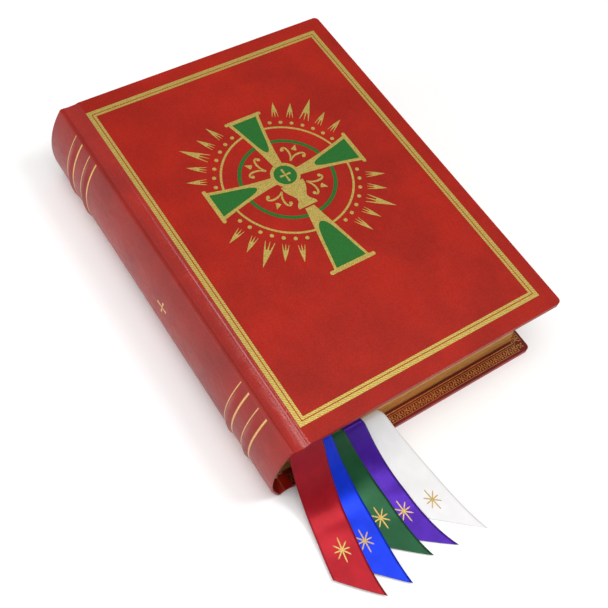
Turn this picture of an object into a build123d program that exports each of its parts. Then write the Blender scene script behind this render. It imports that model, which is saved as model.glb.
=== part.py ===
"""Altar missal (prayer book) with opening covers, turning leaves and five marker ribbons.

Frame: origin at the centre of the back cover's outer face, where the book rests.
+X from spine to fore-edge, +Y from tail to head, +Z up. All lengths in millimetres.
"""

import math
import os

from build123d import *

# ---- driving dimensions -------------------------------------------------
BOARD_W = 208.5  # board, spine edge to fore-edge
BOARD_H = 300.0  # board, head to tail
BOOK_T = 69.0  # over both covers, closed
LEATHER = 1.0  # covering leather on the boards and spine
TURN_IN = 0.8  # leather folded over inside the boards
TURN_IN_W = 14.0  # how far the turn-in reaches from the edge
COVER_T = 4.5  # leather, board and turn-in together
BOARD_CORNER_R = 3.5  # rounded corners at the fore-edge
GROOVE_W = 10.5  # flexible leather between board and spine
GROOVE_DIP = 1.7  # how far the leather sinks into the groove
SPINE_BULGE = 9.45  # how far the rounded spine stands out from its shoulders
SQUARE_END = 11.0  # cover beyond the leaves at head and tail
SQUARE_FORE = 9.0  # cover beyond the leaves at the fore-edge
LEAF_ROUND = 7.0  # rounding of the text block, same at spine and fore-edge
LEAF_T = 0.25  # one turning leaf
GAP = 0.3  # running clearance between bodies
RIBBON_W = 25.4  # marker ribbon, one inch wide
RIBBON_T = 0.3
RIBBON_ROOM = 0.6  # opening between gatherings that holds a ribbon
FOIL_T = 0.1  # stamped foil

# ---- derived positions --------------------------------------------------
X_FORE = BOARD_W / 2
X_BOARD = -BOARD_W / 2
X_SHOULDER = X_BOARD - GROOVE_W
Y_END = BOARD_H / 2
Z_MID = BOOK_T / 2
SPINE_R = (Z_MID**2 + SPINE_BULGE**2) / (2 * SPINE_BULGE)
SPINE_CX = X_SHOULDER - SPINE_BULGE + SPINE_R
SPINE_HALF = math.degrees(math.asin(Z_MID / SPINE_R))
LEAF_X = X_FORE - SQUARE_FORE  # leaves' fore-edge at top and bottom
LEAF_Y = Y_END - SQUARE_END
LEAF_HINGE_X = X_BOARD - 1.75  # turning leaves start here
PITCH = LEAF_T + GAP
BLOCK_LOW = COVER_T + GAP + PITCH
BLOCK_TOP = BOOK_T - COVER_T - GAP - 3 * PITCH
BLOCK_X = X_SHOULDER + 3.25  # text block's spine edge at top and bottom
SPINE_AXIS = Axis((SPINE_CX, 0, Z_MID), (0, 1, 0))
SPINE_PLANE = Plane(origin=(SPINE_CX, 0, Z_MID), x_dir=(-1, 0, 0), z_dir=(0, 0, -1))

# the text block's spine is an arc of its own, and its linings follow it
BLOCK_HALF = (BLOCK_TOP - BLOCK_LOW) / 2
BLOCK_MID = (BLOCK_TOP + BLOCK_LOW) / 2
BLOCK_R = (BLOCK_HALF**2 + LEAF_ROUND**2) / (2 * LEAF_ROUND)
BLOCK_CX = BLOCK_X - LEAF_ROUND + BLOCK_R
BLOCK_SPAN = math.degrees(math.asin(BLOCK_HALF / BLOCK_R))
BLOCK_AXIS = Axis((BLOCK_CX, 0, BLOCK_MID), (0, 1, 0))
BLOCK_PLANE = Plane(origin=(BLOCK_CX, 0, BLOCK_MID), x_dir=(-1, 0, 0), z_dir=(0, 0, -1))

RIBBON_COLOURS = ("red", "blue", "green", "purple", "white")  # from the top down
RIBBON_FROM_TOP = 16.55  # red ribbon below the text block's top
RIBBON_FROM_LOW = 16.65  # white ribbon above its bottom, and the rest evenly between
RIBBON_PITCH = (BLOCK_TOP - BLOCK_LOW - RIBBON_FROM_TOP - RIBBON_FROM_LOW) / 4
RIBBON_EXIT_Z = {
    colour: BLOCK_TOP - RIBBON_FROM_TOP - i * RIBBON_PITCH
    for i, colour in enumerate(RIBBON_COLOURS)
}
RIBBON_REST_Z = {"red": 2.4, "blue": 1.9, "green": 1.4, "purple": 0.9, "white": 0.4}
BAND_FROM_END = (30.8, 51.0)  # raised bands, two near each end
BAND_Y = [side * (Y_END - inset) for side in (1, -1) for inset in BAND_FROM_END]
FILLET_OFF = 4.4  # a fillet lies on each side of each band
FILLET_Y = [y + side * FILLET_OFF for y in BAND_Y for side in (1, -1)]
FRAME_IN_END = 11.7  # cover's edge to the gold frame, at head and tail
FRAME_IN_FORE = 10.75
FRAME_IN_SPINE = 3.55
FRAME_OUT_W = 2.6  # outer line of the frame
FRAME_GAP = 1.1
FRAME_LINE_W = 2.0  # inner line of the frame
CROSS_X = (FRAME_IN_SPINE - FRAME_IN_FORE) / 2 - 0.7  # centre of the emblem
CROSS_Y = 26.0

os.makedirs("parts", exist_ok=True)


def finish(part, name, colour):
    """Names, colours and writes one sub-part."""
    part.label = name
    part.color = colour
    export_step(part, f"parts/{name}.step")


RED = Color(0.55, 0.07, 0.05)
DARK_RED = Color(0.3, 0.03, 0.04)
GOLD = Color(0.72, 0.58, 0.2)
GREEN = Color(0.05, 0.35, 0.1)
PAPER = Color(0.9, 0.86, 0.76)
CARD = Color(0.6, 0.55, 0.47)
CLOTH = Color(0.85, 0.83, 0.78)

# =========================================================================
# text block
# =========================================================================
with BuildPart() as gatherings:
    with BuildSketch(Plane.XZ) as profile:
        with BuildLine():
            ThreePointArc(
                (BLOCK_X, BLOCK_LOW), (BLOCK_X - LEAF_ROUND, BLOCK_MID), (BLOCK_X, BLOCK_TOP)
            )
            Line((BLOCK_X, BLOCK_TOP), (LEAF_X, BLOCK_TOP))
            ThreePointArc(
                (LEAF_X, BLOCK_TOP), (LEAF_X - LEAF_ROUND, BLOCK_MID), (LEAF_X, BLOCK_LOW)
            )
            Line((LEAF_X, BLOCK_LOW), (BLOCK_X, BLOCK_LOW))
        make_face()
    extrude(amount=LEAF_Y, both=True)
    # a ribbon lies in each wide opening; the narrow ones only part the gatherings
    for z in RIBBON_EXIT_Z.values():
        with Locations((0, 0, z)):
            Box(BOARD_W * 2, BOARD_H, RIBBON_ROOM, mode=Mode.SUBTRACT)
    for z in (BLOCK_LOW + 5.6, BLOCK_LOW + 11.1, BLOCK_TOP - 11.05, BLOCK_TOP - 5.75):
        with Locations((0, 0, z)):
            Box(BOARD_W * 2, BOARD_H, 0.2, mode=Mode.SUBTRACT)
finish(gatherings.part, "gatherings", PAPER)

# sewing tapes, mull and paper lining, layer on layer over the block's spine
TAPE_FROM_END = 35.0
TAPE_Y = [side * (LEAF_Y - TAPE_FROM_END) / 2 for side in (-2, -1, 0, 1, 2)]
with BuildPart() as sewing_tapes:
    with BuildSketch(BLOCK_PLANE):
        with Locations(*[(BLOCK_R + 0.25, y) for y in TAPE_Y]):
            Rectangle(0.5, 16)
    revolve(axis=BLOCK_AXIS, revolution_arc=2 * BLOCK_SPAN - 2)
sewing_tapes.part = sewing_tapes.part.rotate(BLOCK_AXIS, 1 - BLOCK_SPAN)
finish(sewing_tapes.part, "sewing_tapes", CLOTH)

with BuildPart() as spine_mull:
    with BuildSketch(BLOCK_PLANE):
        with Locations((BLOCK_R + 0.7, 0)):
            Rectangle(0.4, 2 * LEAF_Y - 24)
    revolve(axis=BLOCK_AXIS, revolution_arc=2 * BLOCK_SPAN - 2)
spine_mull.part = spine_mull.part.rotate(BLOCK_AXIS, 1 - BLOCK_SPAN)
finish(spine_mull.part, "spine_mull", CLOTH)

with BuildPart() as spine_lining:
    with BuildSketch(BLOCK_PLANE):
        with Locations((BLOCK_R + 1.2, 0)):
            Rectangle(0.6, 2 * LEAF_Y - 6)
    revolve(axis=BLOCK_AXIS, revolution_arc=2 * BLOCK_SPAN - 6)
spine_lining.part = spine_lining.part.rotate(BLOCK_AXIS, 3 - BLOCK_SPAN)
finish(spine_lining.part, "spine_lining", CARD)

# headband and tailband sit on the ends of the block, at the spine edge
with BuildPart() as headband:
    with BuildSketch(BLOCK_PLANE):
        with Locations((BLOCK_R - 1.6, LEAF_Y + 1.6)):
            Circle(1.6)
    revolve(axis=BLOCK_AXIS, revolution_arc=2 * BLOCK_SPAN - 8)
headband.part = headband.part.rotate(BLOCK_AXIS, 4 - BLOCK_SPAN)
finish(headband.part, "headband", GOLD)

with BuildPart() as tailband:
    with BuildSketch(BLOCK_PLANE):
        with Locations((BLOCK_R - 1.6, -LEAF_Y - 1.6)):
            Circle(1.6)
    revolve(axis=BLOCK_AXIS, revolution_arc=2 * BLOCK_SPAN - 8)
tailband.part = tailband.part.rotate(BLOCK_AXIS, 4 - BLOCK_SPAN)
finish(tailband.part, "tailband", GOLD)

# =========================================================================
# hollow spine: leather with raised bands, their cores, and a stiffening card
# =========================================================================
BAND_RISE = 1.3
BAND_W = 7.4
BAND_SPAN = SPINE_HALF - 4

with BuildPart() as spine_leather:
    with BuildSketch(SPINE_PLANE):
        with BuildLine():
            Polyline(
                (SPINE_R, -Y_END),
                (SPINE_R, Y_END),
                (SPINE_R - 2 * LEATHER, Y_END),
                (SPINE_R - 2 * LEATHER, Y_END - TURN_IN_W),
                (SPINE_R - LEATHER, Y_END - TURN_IN_W),
                (SPINE_R - LEATHER, TURN_IN_W - Y_END),
                (SPINE_R - 2 * LEATHER, TURN_IN_W - Y_END),
                (SPINE_R - 2 * LEATHER, -Y_END),
                close=True,
            )
        make_face()
    revolve(axis=SPINE_AXIS, revolution_arc=2 * SPINE_HALF)
spine_leather.part = spine_leather.part.rotate(SPINE_AXIS, -SPINE_HALF)
finish(spine_leather.part, "spine_leather", RED)

with BuildPart() as raised_bands:
    with BuildSketch(SPINE_PLANE):
        with Locations(*[(SPINE_R + BAND_RISE / 2, y) for y in BAND_Y]):
            Trapezoid(BAND_W, BAND_RISE, 45, rotation=-90)
    revolve(axis=SPINE_AXIS, revolution_arc=2 * BAND_SPAN)
raised_bands.part = raised_bands.part.rotate(SPINE_AXIS, -BAND_SPAN)
finish(raised_bands.part, "raised_bands", RED)

with BuildPart() as spine_card:
    with BuildSketch(SPINE_PLANE):
        with Locations((SPINE_R - 1.45 * LEATHER, 0)):
            Rectangle(0.9, BOARD_H - 29)
    revolve(axis=SPINE_AXIS, revolution_arc=2 * SPINE_HALF - 7)
spine_card.part = spine_card.part.rotate(SPINE_AXIS, 3.5 - SPINE_HALF)
finish(spine_card.part, "spine_card", CARD)

with BuildPart() as spine_fillets:
    with BuildSketch(SPINE_PLANE):
        with Locations(*[(SPINE_R + FOIL_T / 2, y) for y in FILLET_Y]):
            Rectangle(FOIL_T, 1.0)
    revolve(axis=SPINE_AXIS, revolution_arc=2 * SPINE_HALF - 2)
spine_fillets.part = spine_fillets.part.rotate(SPINE_AXIS, 1 - SPINE_HALF)
finish(spine_fillets.part, "spine_fillets", GOLD)

# =========================================================================
# flexible joints, outside and inside each board
# =========================================================================
JOINT_RIGHT = X_BOARD - GAP
GROOVE_X = X_BOARD - 0.45 * GROOVE_W  # deepest line of the groove

# half-section of the groove's leather, as (x, depth below the cover's outer face)
GROOVE = (
    (X_SHOULDER + 0.06, 0.0),
    (X_SHOULDER + 2.6, 0.55),
    (GROOVE_X - 1.2, GROOVE_DIP - 0.1),
    (GROOVE_X, GROOVE_DIP),
    (GROOVE_X + 1.2, GROOVE_DIP - 0.15),
    (JOINT_RIGHT - 1.4, 0.7),
    (JOINT_RIGHT, 0.0),
    (JOINT_RIGHT, LEATHER),
    (JOINT_RIGHT - 1.4, 0.7 + LEATHER),
    (GROOVE_X + 1.2, GROOVE_DIP + LEATHER - 0.15),
    (GROOVE_X, GROOVE_DIP + LEATHER),
    (GROOVE_X - 1.2, GROOVE_DIP + LEATHER - 0.1),
    (X_SHOULDER + 2.6, 1.75),
    (X_SHOULDER + 1.85, 1.05),
)

with BuildPart() as front_joint_leather:
    with BuildSketch(Plane.XZ):
        with BuildLine():
            Polyline(*[(x, BOOK_T - depth) for x, depth in GROOVE], close=True)
        make_face()
    extrude(amount=Y_END, both=True)
finish(front_joint_leather.part, "front_joint_leather", RED)

with BuildPart() as back_joint_leather:
    with BuildSketch(Plane.XZ):
        with BuildLine():
            Polyline(*[(x, depth) for x, depth in GROOVE], close=True)
        make_face()
    extrude(amount=Y_END, both=True)
finish(back_joint_leather.part, "back_joint_leather", RED)

# cloth hinges from the text block's shoulders up to the inside of the boards
with BuildPart() as front_inner_joint:
    with BuildSketch(Plane.XZ):
        with BuildLine():
            Polyline(
                (BLOCK_X, BLOCK_TOP + 0.05),
                (X_BOARD - 0.45, BOOK_T - COVER_T + 0.9),
                (X_BOARD - 0.45, BOOK_T - COVER_T + 1.3),
                (BLOCK_X, BLOCK_TOP + 0.45),
                close=True,
            )
        make_face()
    extrude(amount=LEAF_Y, both=True)
finish(front_inner_joint.part, "front_inner_joint", CLOTH)

with BuildPart() as back_inner_joint:
    with BuildSketch(Plane.XZ):
        with BuildLine():
            Polyline(
                (BLOCK_X, BLOCK_LOW - 0.05),
                (X_BOARD - 0.45, COVER_T - 0.6),
                (X_BOARD - 0.45, COVER_T - 1.0),
                (BLOCK_X, BLOCK_LOW - 0.45),
                close=True,
            )
        make_face()
    extrude(amount=LEAF_Y, both=True)
finish(back_inner_joint.part, "back_inner_joint", CLOTH)

# =========================================================================
# covers: each a board, its leather with turn-ins, a doublure and foil
# =========================================================================
INNER_W = BOARD_W - TURN_IN_W
INNER_X = -TURN_IN_W / 2
FRONT_IN = BOOK_T - COVER_T  # inner face of the front cover

with BuildPart() as front_cover_leather:
    with BuildSketch(Plane.XY.offset(FRONT_IN)) as outline:
        Rectangle(BOARD_W, BOARD_H)
        fillet(outline.vertices().group_by(Axis.X)[-1], BOARD_CORNER_R)
    extrude(amount=COVER_T)
    fillet(front_cover_leather.faces().sort_by(Axis.Z)[-1].edges(), 0.8)
    with BuildSketch(Plane.XY.offset(FRONT_IN + TURN_IN)):
        with Locations((-LEATHER / 2, 0)):
            Rectangle(BOARD_W - LEATHER, BOARD_H - 2 * LEATHER)
    extrude(amount=COVER_T - LEATHER - TURN_IN, mode=Mode.SUBTRACT)
    with BuildSketch(Plane.XY.offset(FRONT_IN)):
        with Locations((INNER_X, 0)):
            Rectangle(INNER_W, BOARD_H - 2 * TURN_IN_W)
    extrude(amount=TURN_IN, mode=Mode.SUBTRACT)
finish(front_cover_leather.part, "front_cover_leather", RED)

with BuildPart() as front_board:
    with BuildSketch(Plane.XY.offset(FRONT_IN + TURN_IN)):
        with Locations((-LEATHER / 2, 0)):
            Rectangle(BOARD_W - LEATHER, BOARD_H - 2 * LEATHER)
    extrude(amount=COVER_T - LEATHER - TURN_IN)
finish(front_board.part, "front_board", CARD)

with BuildPart() as front_doublure:
    with BuildSketch(Plane.XY.offset(FRONT_IN + 0.2)):
        with Locations((INNER_X, 0)):
            Rectangle(INNER_W, BOARD_H - 2 * TURN_IN_W)
    extrude(amount=TURN_IN - 0.2)
finish(front_doublure.part, "front_doublure", DARK_RED)

with BuildPart() as back_cover_leather:
    with BuildSketch(Plane.XY) as outline:
        Rectangle(BOARD_W, BOARD_H)
        fillet(outline.vertices().group_by(Axis.X)[-1], BOARD_CORNER_R)
    extrude(amount=COVER_T)
    fillet(back_cover_leather.faces().sort_by(Axis.Z)[0].edges(), 0.8)
    with BuildSketch(Plane.XY.offset(LEATHER)):
        with Locations((-LEATHER / 2, 0)):
            Rectangle(BOARD_W - LEATHER, BOARD_H - 2 * LEATHER)
    extrude(amount=COVER_T - LEATHER - TURN_IN, mode=Mode.SUBTRACT)
    with BuildSketch(Plane.XY.offset(COVER_T - TURN_IN)):
        with Locations((INNER_X, 0)):
            Rectangle(INNER_W, BOARD_H - 2 * TURN_IN_W)
    extrude(amount=TURN_IN, mode=Mode.SUBTRACT)
finish(back_cover_leather.part, "back_cover_leather", RED)

with BuildPart() as back_board:
    with BuildSketch(Plane.XY.offset(LEATHER)):
        with Locations((-LEATHER / 2, 0)):
            Rectangle(BOARD_W - LEATHER, BOARD_H - 2 * LEATHER)
    extrude(amount=COVER_T - LEATHER - TURN_IN)
finish(back_board.part, "back_board", CARD)

with BuildPart() as back_doublure:
    with BuildSketch(Plane.XY.offset(COVER_T - TURN_IN)):
        with Locations((INNER_X, 0)):
            Rectangle(INNER_W, BOARD_H - 2 * TURN_IN_W)
    extrude(amount=TURN_IN - 0.2)
finish(back_doublure.part, "back_doublure", DARK_RED)

# gold border on the turn-ins: an ornamental band and a thin inner line, open at the spine
BORDER_IN = 2.0
BORDER_W = 6.0
LINE_IN = 9.4
with BuildPart() as back_inner_foil:
    with BuildSketch(Plane.XY.offset(COVER_T)):
        Rectangle(BOARD_W - 2 * BORDER_IN, BOARD_H - 2 * BORDER_IN)
        with Locations((-BORDER_W, 0)):
            Rectangle(
                BOARD_W - 2 * BORDER_IN,
                BOARD_H - 2 * (BORDER_IN + BORDER_W),
                mode=Mode.SUBTRACT,
            )
        Rectangle(BOARD_W - 2 * LINE_IN, BOARD_H - 2 * LINE_IN)
        with Locations((-0.7, 0)):
            Rectangle(BOARD_W - 2 * LINE_IN, BOARD_H - 2 * LINE_IN - 1.4, mode=Mode.SUBTRACT)
    extrude(amount=FOIL_T)
finish(back_inner_foil.part, "back_inner_foil", GOLD)

with BuildPart() as front_inner_foil:
    with BuildSketch(Plane.XY.offset(FRONT_IN - FOIL_T)):
        Rectangle(BOARD_W - 2 * BORDER_IN, BOARD_H - 2 * BORDER_IN)
        with Locations((-BORDER_W, 0)):
            Rectangle(
                BOARD_W - 2 * BORDER_IN,
                BOARD_H - 2 * (BORDER_IN + BORDER_W),
                mode=Mode.SUBTRACT,
            )
        Rectangle(BOARD_W - 2 * LINE_IN, BOARD_H - 2 * LINE_IN)
        with Locations((-0.7, 0)):
            Rectangle(BOARD_W - 2 * LINE_IN, BOARD_H - 2 * LINE_IN - 1.4, mode=Mode.SUBTRACT)
    extrude(amount=FOIL_T)
finish(front_inner_foil.part, "front_inner_foil", GOLD)

# double-ruled gold frame on the front cover
FRAME_W = BOARD_W - FRAME_IN_FORE - FRAME_IN_SPINE
FRAME_H = BOARD_H - 2 * FRAME_IN_END
FRAME_X = (FRAME_IN_SPINE - FRAME_IN_FORE) / 2
FRAME_1 = 2 * FRAME_OUT_W
FRAME_2 = FRAME_1 + 2 * FRAME_GAP
FRAME_3 = FRAME_2 + 2 * FRAME_LINE_W
with BuildPart() as front_frame_foil:
    with BuildSketch(Plane.XY.offset(BOOK_T)):
        with Locations((FRAME_X, 0)):
            Rectangle(FRAME_W, FRAME_H)
            Rectangle(FRAME_W - FRAME_1, FRAME_H - FRAME_1, mode=Mode.SUBTRACT)
            Rectangle(FRAME_W - FRAME_2, FRAME_H - FRAME_2)
            Rectangle(FRAME_W - FRAME_3, FRAME_H - FRAME_3, mode=Mode.SUBTRACT)
    extrude(amount=FOIL_T)
finish(front_frame_foil.part, "front_frame_foil", GOLD)

# emblem: a cross with flared arms over two rings, the lower arm longer
RING_GOLD, RING_GREEN = 46.5, 33.8
ARM_END = 58.6
ARM_LOW = 81.5
with BuildPart() as emblem_gold:
    with BuildSketch(Plane.XY.offset(BOOK_T)):
        with Locations((CROSS_X, CROSS_Y)):
            Circle(RING_GOLD + 0.7)
            Circle(RING_GOLD - 0.7, mode=Mode.SUBTRACT)
            Circle(13.0)
        with BuildLine():
            Polyline(
                (CROSS_X - 3.5, CROSS_Y + 5),
                (CROSS_X - 13.5, CROSS_Y + ARM_END),
                (CROSS_X + 13.5, CROSS_Y + ARM_END),
                (CROSS_X + 3.5, CROSS_Y + 5),
                close=True,
            )
        make_face()
        with BuildLine():
            Polyline(
                (CROSS_X - 5, CROSS_Y + 3.5),
                (CROSS_X - ARM_END, CROSS_Y + 13.5),
                (CROSS_X - ARM_END, CROSS_Y - 13.5),
                (CROSS_X - 5, CROSS_Y - 3.5),
                close=True,
            )
        make_face()
        with BuildLine():
            Polyline(
                (CROSS_X + 5, CROSS_Y + 3.5),
                (CROSS_X + ARM_END, CROSS_Y + 13.5),
                (CROSS_X + ARM_END, CROSS_Y - 13.5),
                (CROSS_X + 5, CROSS_Y - 3.5),
                close=True,
            )
        make_face()
        with BuildLine():
            Polyline(
                (CROSS_X - 3.5, CROSS_Y - 5),
                (CROSS_X - 18, CROSS_Y - ARM_LOW),
                (CROSS_X + 18, CROSS_Y - ARM_LOW),
                (CROSS_X + 3.5, CROSS_Y - 5),
                close=True,
            )
        make_face()
    extrude(amount=FOIL_T)
finish(emblem_gold.part, "emblem_gold", GOLD)

with BuildPart() as emblem_green:
    with BuildSketch(Plane.XY.offset(BOOK_T)):
        with Locations((CROSS_X, CROSS_Y)):
            Circle(RING_GREEN + 1.3)
            Circle(RING_GREEN - 1.3, mode=Mode.SUBTRACT)
    extrude(amount=FOIL_T)
    add(emblem_gold.part, mode=Mode.SUBTRACT)
finish(emblem_green.part, "emblem_green", GREEN)

# =========================================================================
# turning leaves
# =========================================================================
LEAF_LEN = LEAF_X - LEAF_HINGE_X
LEAF_CX = (LEAF_X + LEAF_HINGE_X) / 2
LEAF_TOP = FRONT_IN - GAP - LEAF_T / 2

with BuildPart() as front_flyleaf:
    with Locations((LEAF_CX, 0, LEAF_TOP)):
        Box(LEAF_LEN, 2 * LEAF_Y, LEAF_T)
finish(front_flyleaf.part, "front_flyleaf", PAPER)

with BuildPart() as title_leaf:
    with Locations((LEAF_CX, 0, LEAF_TOP - PITCH)):
        Box(LEAF_LEN, 2 * LEAF_Y, LEAF_T)
finish(title_leaf.part, "title_leaf", PAPER)

with BuildPart() as text_leaf:
    with Locations((LEAF_CX, 0, LEAF_TOP - 2 * PITCH)):
        Box(LEAF_LEN, 2 * LEAF_Y, LEAF_T)
finish(text_leaf.part, "text_leaf", PAPER)

with BuildPart() as back_flyleaf:
    with Locations((LEAF_CX, 0, COVER_T + GAP + LEAF_T / 2)):
        Box(LEAF_LEN, 2 * LEAF_Y, LEAF_T)
finish(back_flyleaf.part, "back_flyleaf", PAPER)

# =========================================================================
# marker ribbons: between the gatherings, over the tail, down to the table
# =========================================================================
RIBBON_TOP_Y = LEAF_Y - 6
TAIL_LIE = Y_END + 38  # the ribbons lie flat from here on
SLANT = 26.0  # cut of the ribbon's end, long point at the right


def ribbon(colour, run):
    """One ribbon: its side view swept across, cut to its plan outline.

    run gives its right edge as (distance from the board's spine edge, distance past the
    cover's tail), from where it leaves the block to its long point.
    """
    right = [(X_BOARD + across, -Y_END - past) for across, past in run]
    high, low = RIBBON_EXIT_Z[colour], RIBBON_REST_Z[colour]
    left = [(x - RIBBON_W, y) for x, y in right]
    left[-1] = (left[-1][0], right[-1][1] + SLANT)
    with BuildPart() as strip:
        with BuildSketch(Plane.YZ.offset(right[0][0] - RIBBON_W - 30)):
            with BuildLine() as side:
                Polyline(
                    (RIBBON_TOP_Y, high),
                    (-LEAF_Y - 4.5, high),
                    (-LEAF_Y - 12, low + 0.36 * (high - low)),
                    (-TAIL_LIE, low),
                    (-Y_END - 110, low),
                )
                for near, radius in ((-LEAF_Y - 4.5, 4), (-LEAF_Y - 12, 14), (-TAIL_LIE, 30)):
                    fillet(side.vertices().sort_by(lambda v: abs(v.X - near))[0], radius)
            trace(line_width=RIBBON_T)
        extrude(amount=RIBBON_W + 90)
        with BuildSketch(Plane.XY.offset(-1)):
            with BuildLine():
                Line((right[0][0], RIBBON_TOP_Y), right[0])
                Spline(*right)
                Line(right[-1], left[-1])
                Spline(*left[::-1])
                Line(left[0], (left[0][0], RIBBON_TOP_Y))
                Line((left[0][0], RIBBON_TOP_Y), (right[0][0], RIBBON_TOP_Y))
            make_face()
        extrude(amount=BOOK_T + 2, mode=Mode.INTERSECT)
    return strip


red = ribbon("red", [(19.75, -SQUARE_END), (21.95, 15), (18.65, 40), (12.95, 89.8)])
finish(red.part, "ribbon_red", Color(0.6, 0.02, 0.03))
blue = ribbon("blue", [(27.25, -SQUARE_END), (33.85, 15), (34.15, 40), (31.55, 91.8)])
finish(blue.part, "ribbon_blue", Color(0.03, 0.08, 0.7))
green = ribbon("green", [(37.75, -SQUARE_END), (47.45, 15), (49.75, 40), (54.05, 84.5)])
finish(green.part, "ribbon_green", Color(0.03, 0.25, 0.1))
purple = ribbon("purple", [(55.75, -SQUARE_END), (62.25, 15), (63.95, 40), (72.65, 87.5)])
finish(purple.part, "ribbon_purple", Color(0.2, 0.05, 0.5))
white = ribbon("white", [(72.75, -SQUARE_END), (83.65, 15), (88.25, 40), (96.55, 88.6)])
finish(white.part, "ribbon_white", Color(0.9, 0.9, 0.9))
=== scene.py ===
"""Altar missal with raised bands, gilt edges and five ribbons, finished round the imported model.

Sizes are in millimetres, in the book's own frame: +X to the fore-edge, +Y to the head, +Z up from
the table. Each piece is built in millimetres and brought to metres as it is placed.
"""

from __future__ import annotations

import logging
import math
from collections.abc import Callable, Sequence
from dataclasses import dataclass, field
from enum import Enum
from functools import partial

import bmesh
import bpy
from bmesh.types import BMEdge, BMesh, BMFace, BMVert
from bpy.types import Material, Node, NodeSocket, NodeTree, Object
from mathutils import Matrix, Vector, noise
from mathutils.geometry import interpolate_bezier

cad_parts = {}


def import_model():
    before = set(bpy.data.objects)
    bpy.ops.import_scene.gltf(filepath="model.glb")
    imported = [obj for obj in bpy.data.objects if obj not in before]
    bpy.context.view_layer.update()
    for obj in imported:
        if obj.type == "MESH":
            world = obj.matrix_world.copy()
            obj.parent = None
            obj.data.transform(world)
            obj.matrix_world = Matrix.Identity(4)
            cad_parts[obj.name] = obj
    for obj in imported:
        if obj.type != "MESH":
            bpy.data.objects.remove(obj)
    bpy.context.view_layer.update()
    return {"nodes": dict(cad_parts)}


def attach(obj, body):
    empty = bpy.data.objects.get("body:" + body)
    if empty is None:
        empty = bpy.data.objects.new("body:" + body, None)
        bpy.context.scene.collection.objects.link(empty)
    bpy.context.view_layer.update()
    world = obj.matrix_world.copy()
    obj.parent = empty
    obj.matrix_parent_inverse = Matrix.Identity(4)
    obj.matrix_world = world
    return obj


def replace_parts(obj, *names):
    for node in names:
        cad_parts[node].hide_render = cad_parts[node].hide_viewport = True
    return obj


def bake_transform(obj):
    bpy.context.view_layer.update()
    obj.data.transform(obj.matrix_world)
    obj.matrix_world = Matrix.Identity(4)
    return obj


Points = Sequence[Sequence[float]]
Links = dict[str | int, Node | NodeSocket]

LOG = logging.getLogger("missal")
MM = 0.001
BOOK_T = 69.0
BOARD_W = 208.5
BOARD_H = 300.0
X_BOARD = -BOARD_W / 2
X_FORE = BOARD_W / 2
Y_END = BOARD_H / 2
TURN_IN_W = 14.0
LEAF_X = 95.25
LEAF_Y = 139.0
# radius where a cover's leather rolls down into the joint
SHOULDER = 3.5
# how far foil starts below the leather's surface
BEDDING = 0.03


class Body(Enum):
    """The moving parts that pieces ride on."""

    BLOCK = "text_block"
    FRONT = "front_cover"
    BACK = "back_cover"


class Side(Enum):
    """Which of the two covers a piece belongs to."""

    FRONT = "front"
    BACK = "back"

    @property
    def body(self) -> Body:
        """The body of this side's cover."""
        return Body.FRONT if self is Side.FRONT else Body.BACK


# ---------------------------------------------------------------- shared tools


def linear(code: str) -> tuple[float, float, float, float]:
    """Turns an sRGB hex colour to linear light.

    Args:
        code: Six hex digits, with or without a leading hash.

    Returns:
        Red, green, blue and an alpha of 1, in linear light.
    """
    code = code.lstrip("#")
    parts = [int(code[i : i + 2], 16) / 255 for i in (0, 2, 4)]
    r, g, b = (p / 12.92 if p <= 0.04045 else ((p + 0.055) / 1.055) ** 2.4 for p in parts)
    return r, g, b, 1.0


def join(tree: NodeTree, links: Links, node: Node) -> None:
    """Links nodes, by their first output, or sockets to the named inputs of a node."""
    for name, source in links.items():
        socket = source.outputs[0] if isinstance(source, Node) else source
        tree.links.new(socket, node.inputs[name])


def add_node(
    tree: NodeTree,
    kind: str,
    values: dict[str | int, object] | None = None,
    links: Links | None = None,
    **settings: object,
) -> Node:
    """Adds a node with its settings, socket values and incoming links.

    Args:
        tree: The node tree that is being filled.
        kind: The node's type name, after ShaderNode.
        values: Default values, by input name or number.
        links: Nodes or output sockets to join, by input name or number.
        **settings: Attributes of the node itself.

    Returns:
        The new node.
    """
    node = tree.nodes.new(f"ShaderNode{kind}")
    for name, value in settings.items():
        setattr(node, name, value)
    for name, value in (values or {}).items():
        node.inputs[name].default_value = value
    join(tree, links or {}, node)
    return node


def per_mm(size: float) -> float:
    """Gives the texture scale whose features are about size millimetres across."""
    return 1.0 / (size * MM)


def bands_per_mm(size: float) -> float:
    """Gives the wave texture's scale whose straight bands repeat every size millimetres."""
    return per_mm(size) * math.pi / 10


def smoothstep(value: float, low: float, high: float) -> float:
    """Rises smoothly from 0 at low to 1 at high."""
    t = min(1.0, max(0.0, (value - low) / (high - low)))
    return t * t * (3 - 2 * t)


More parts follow.
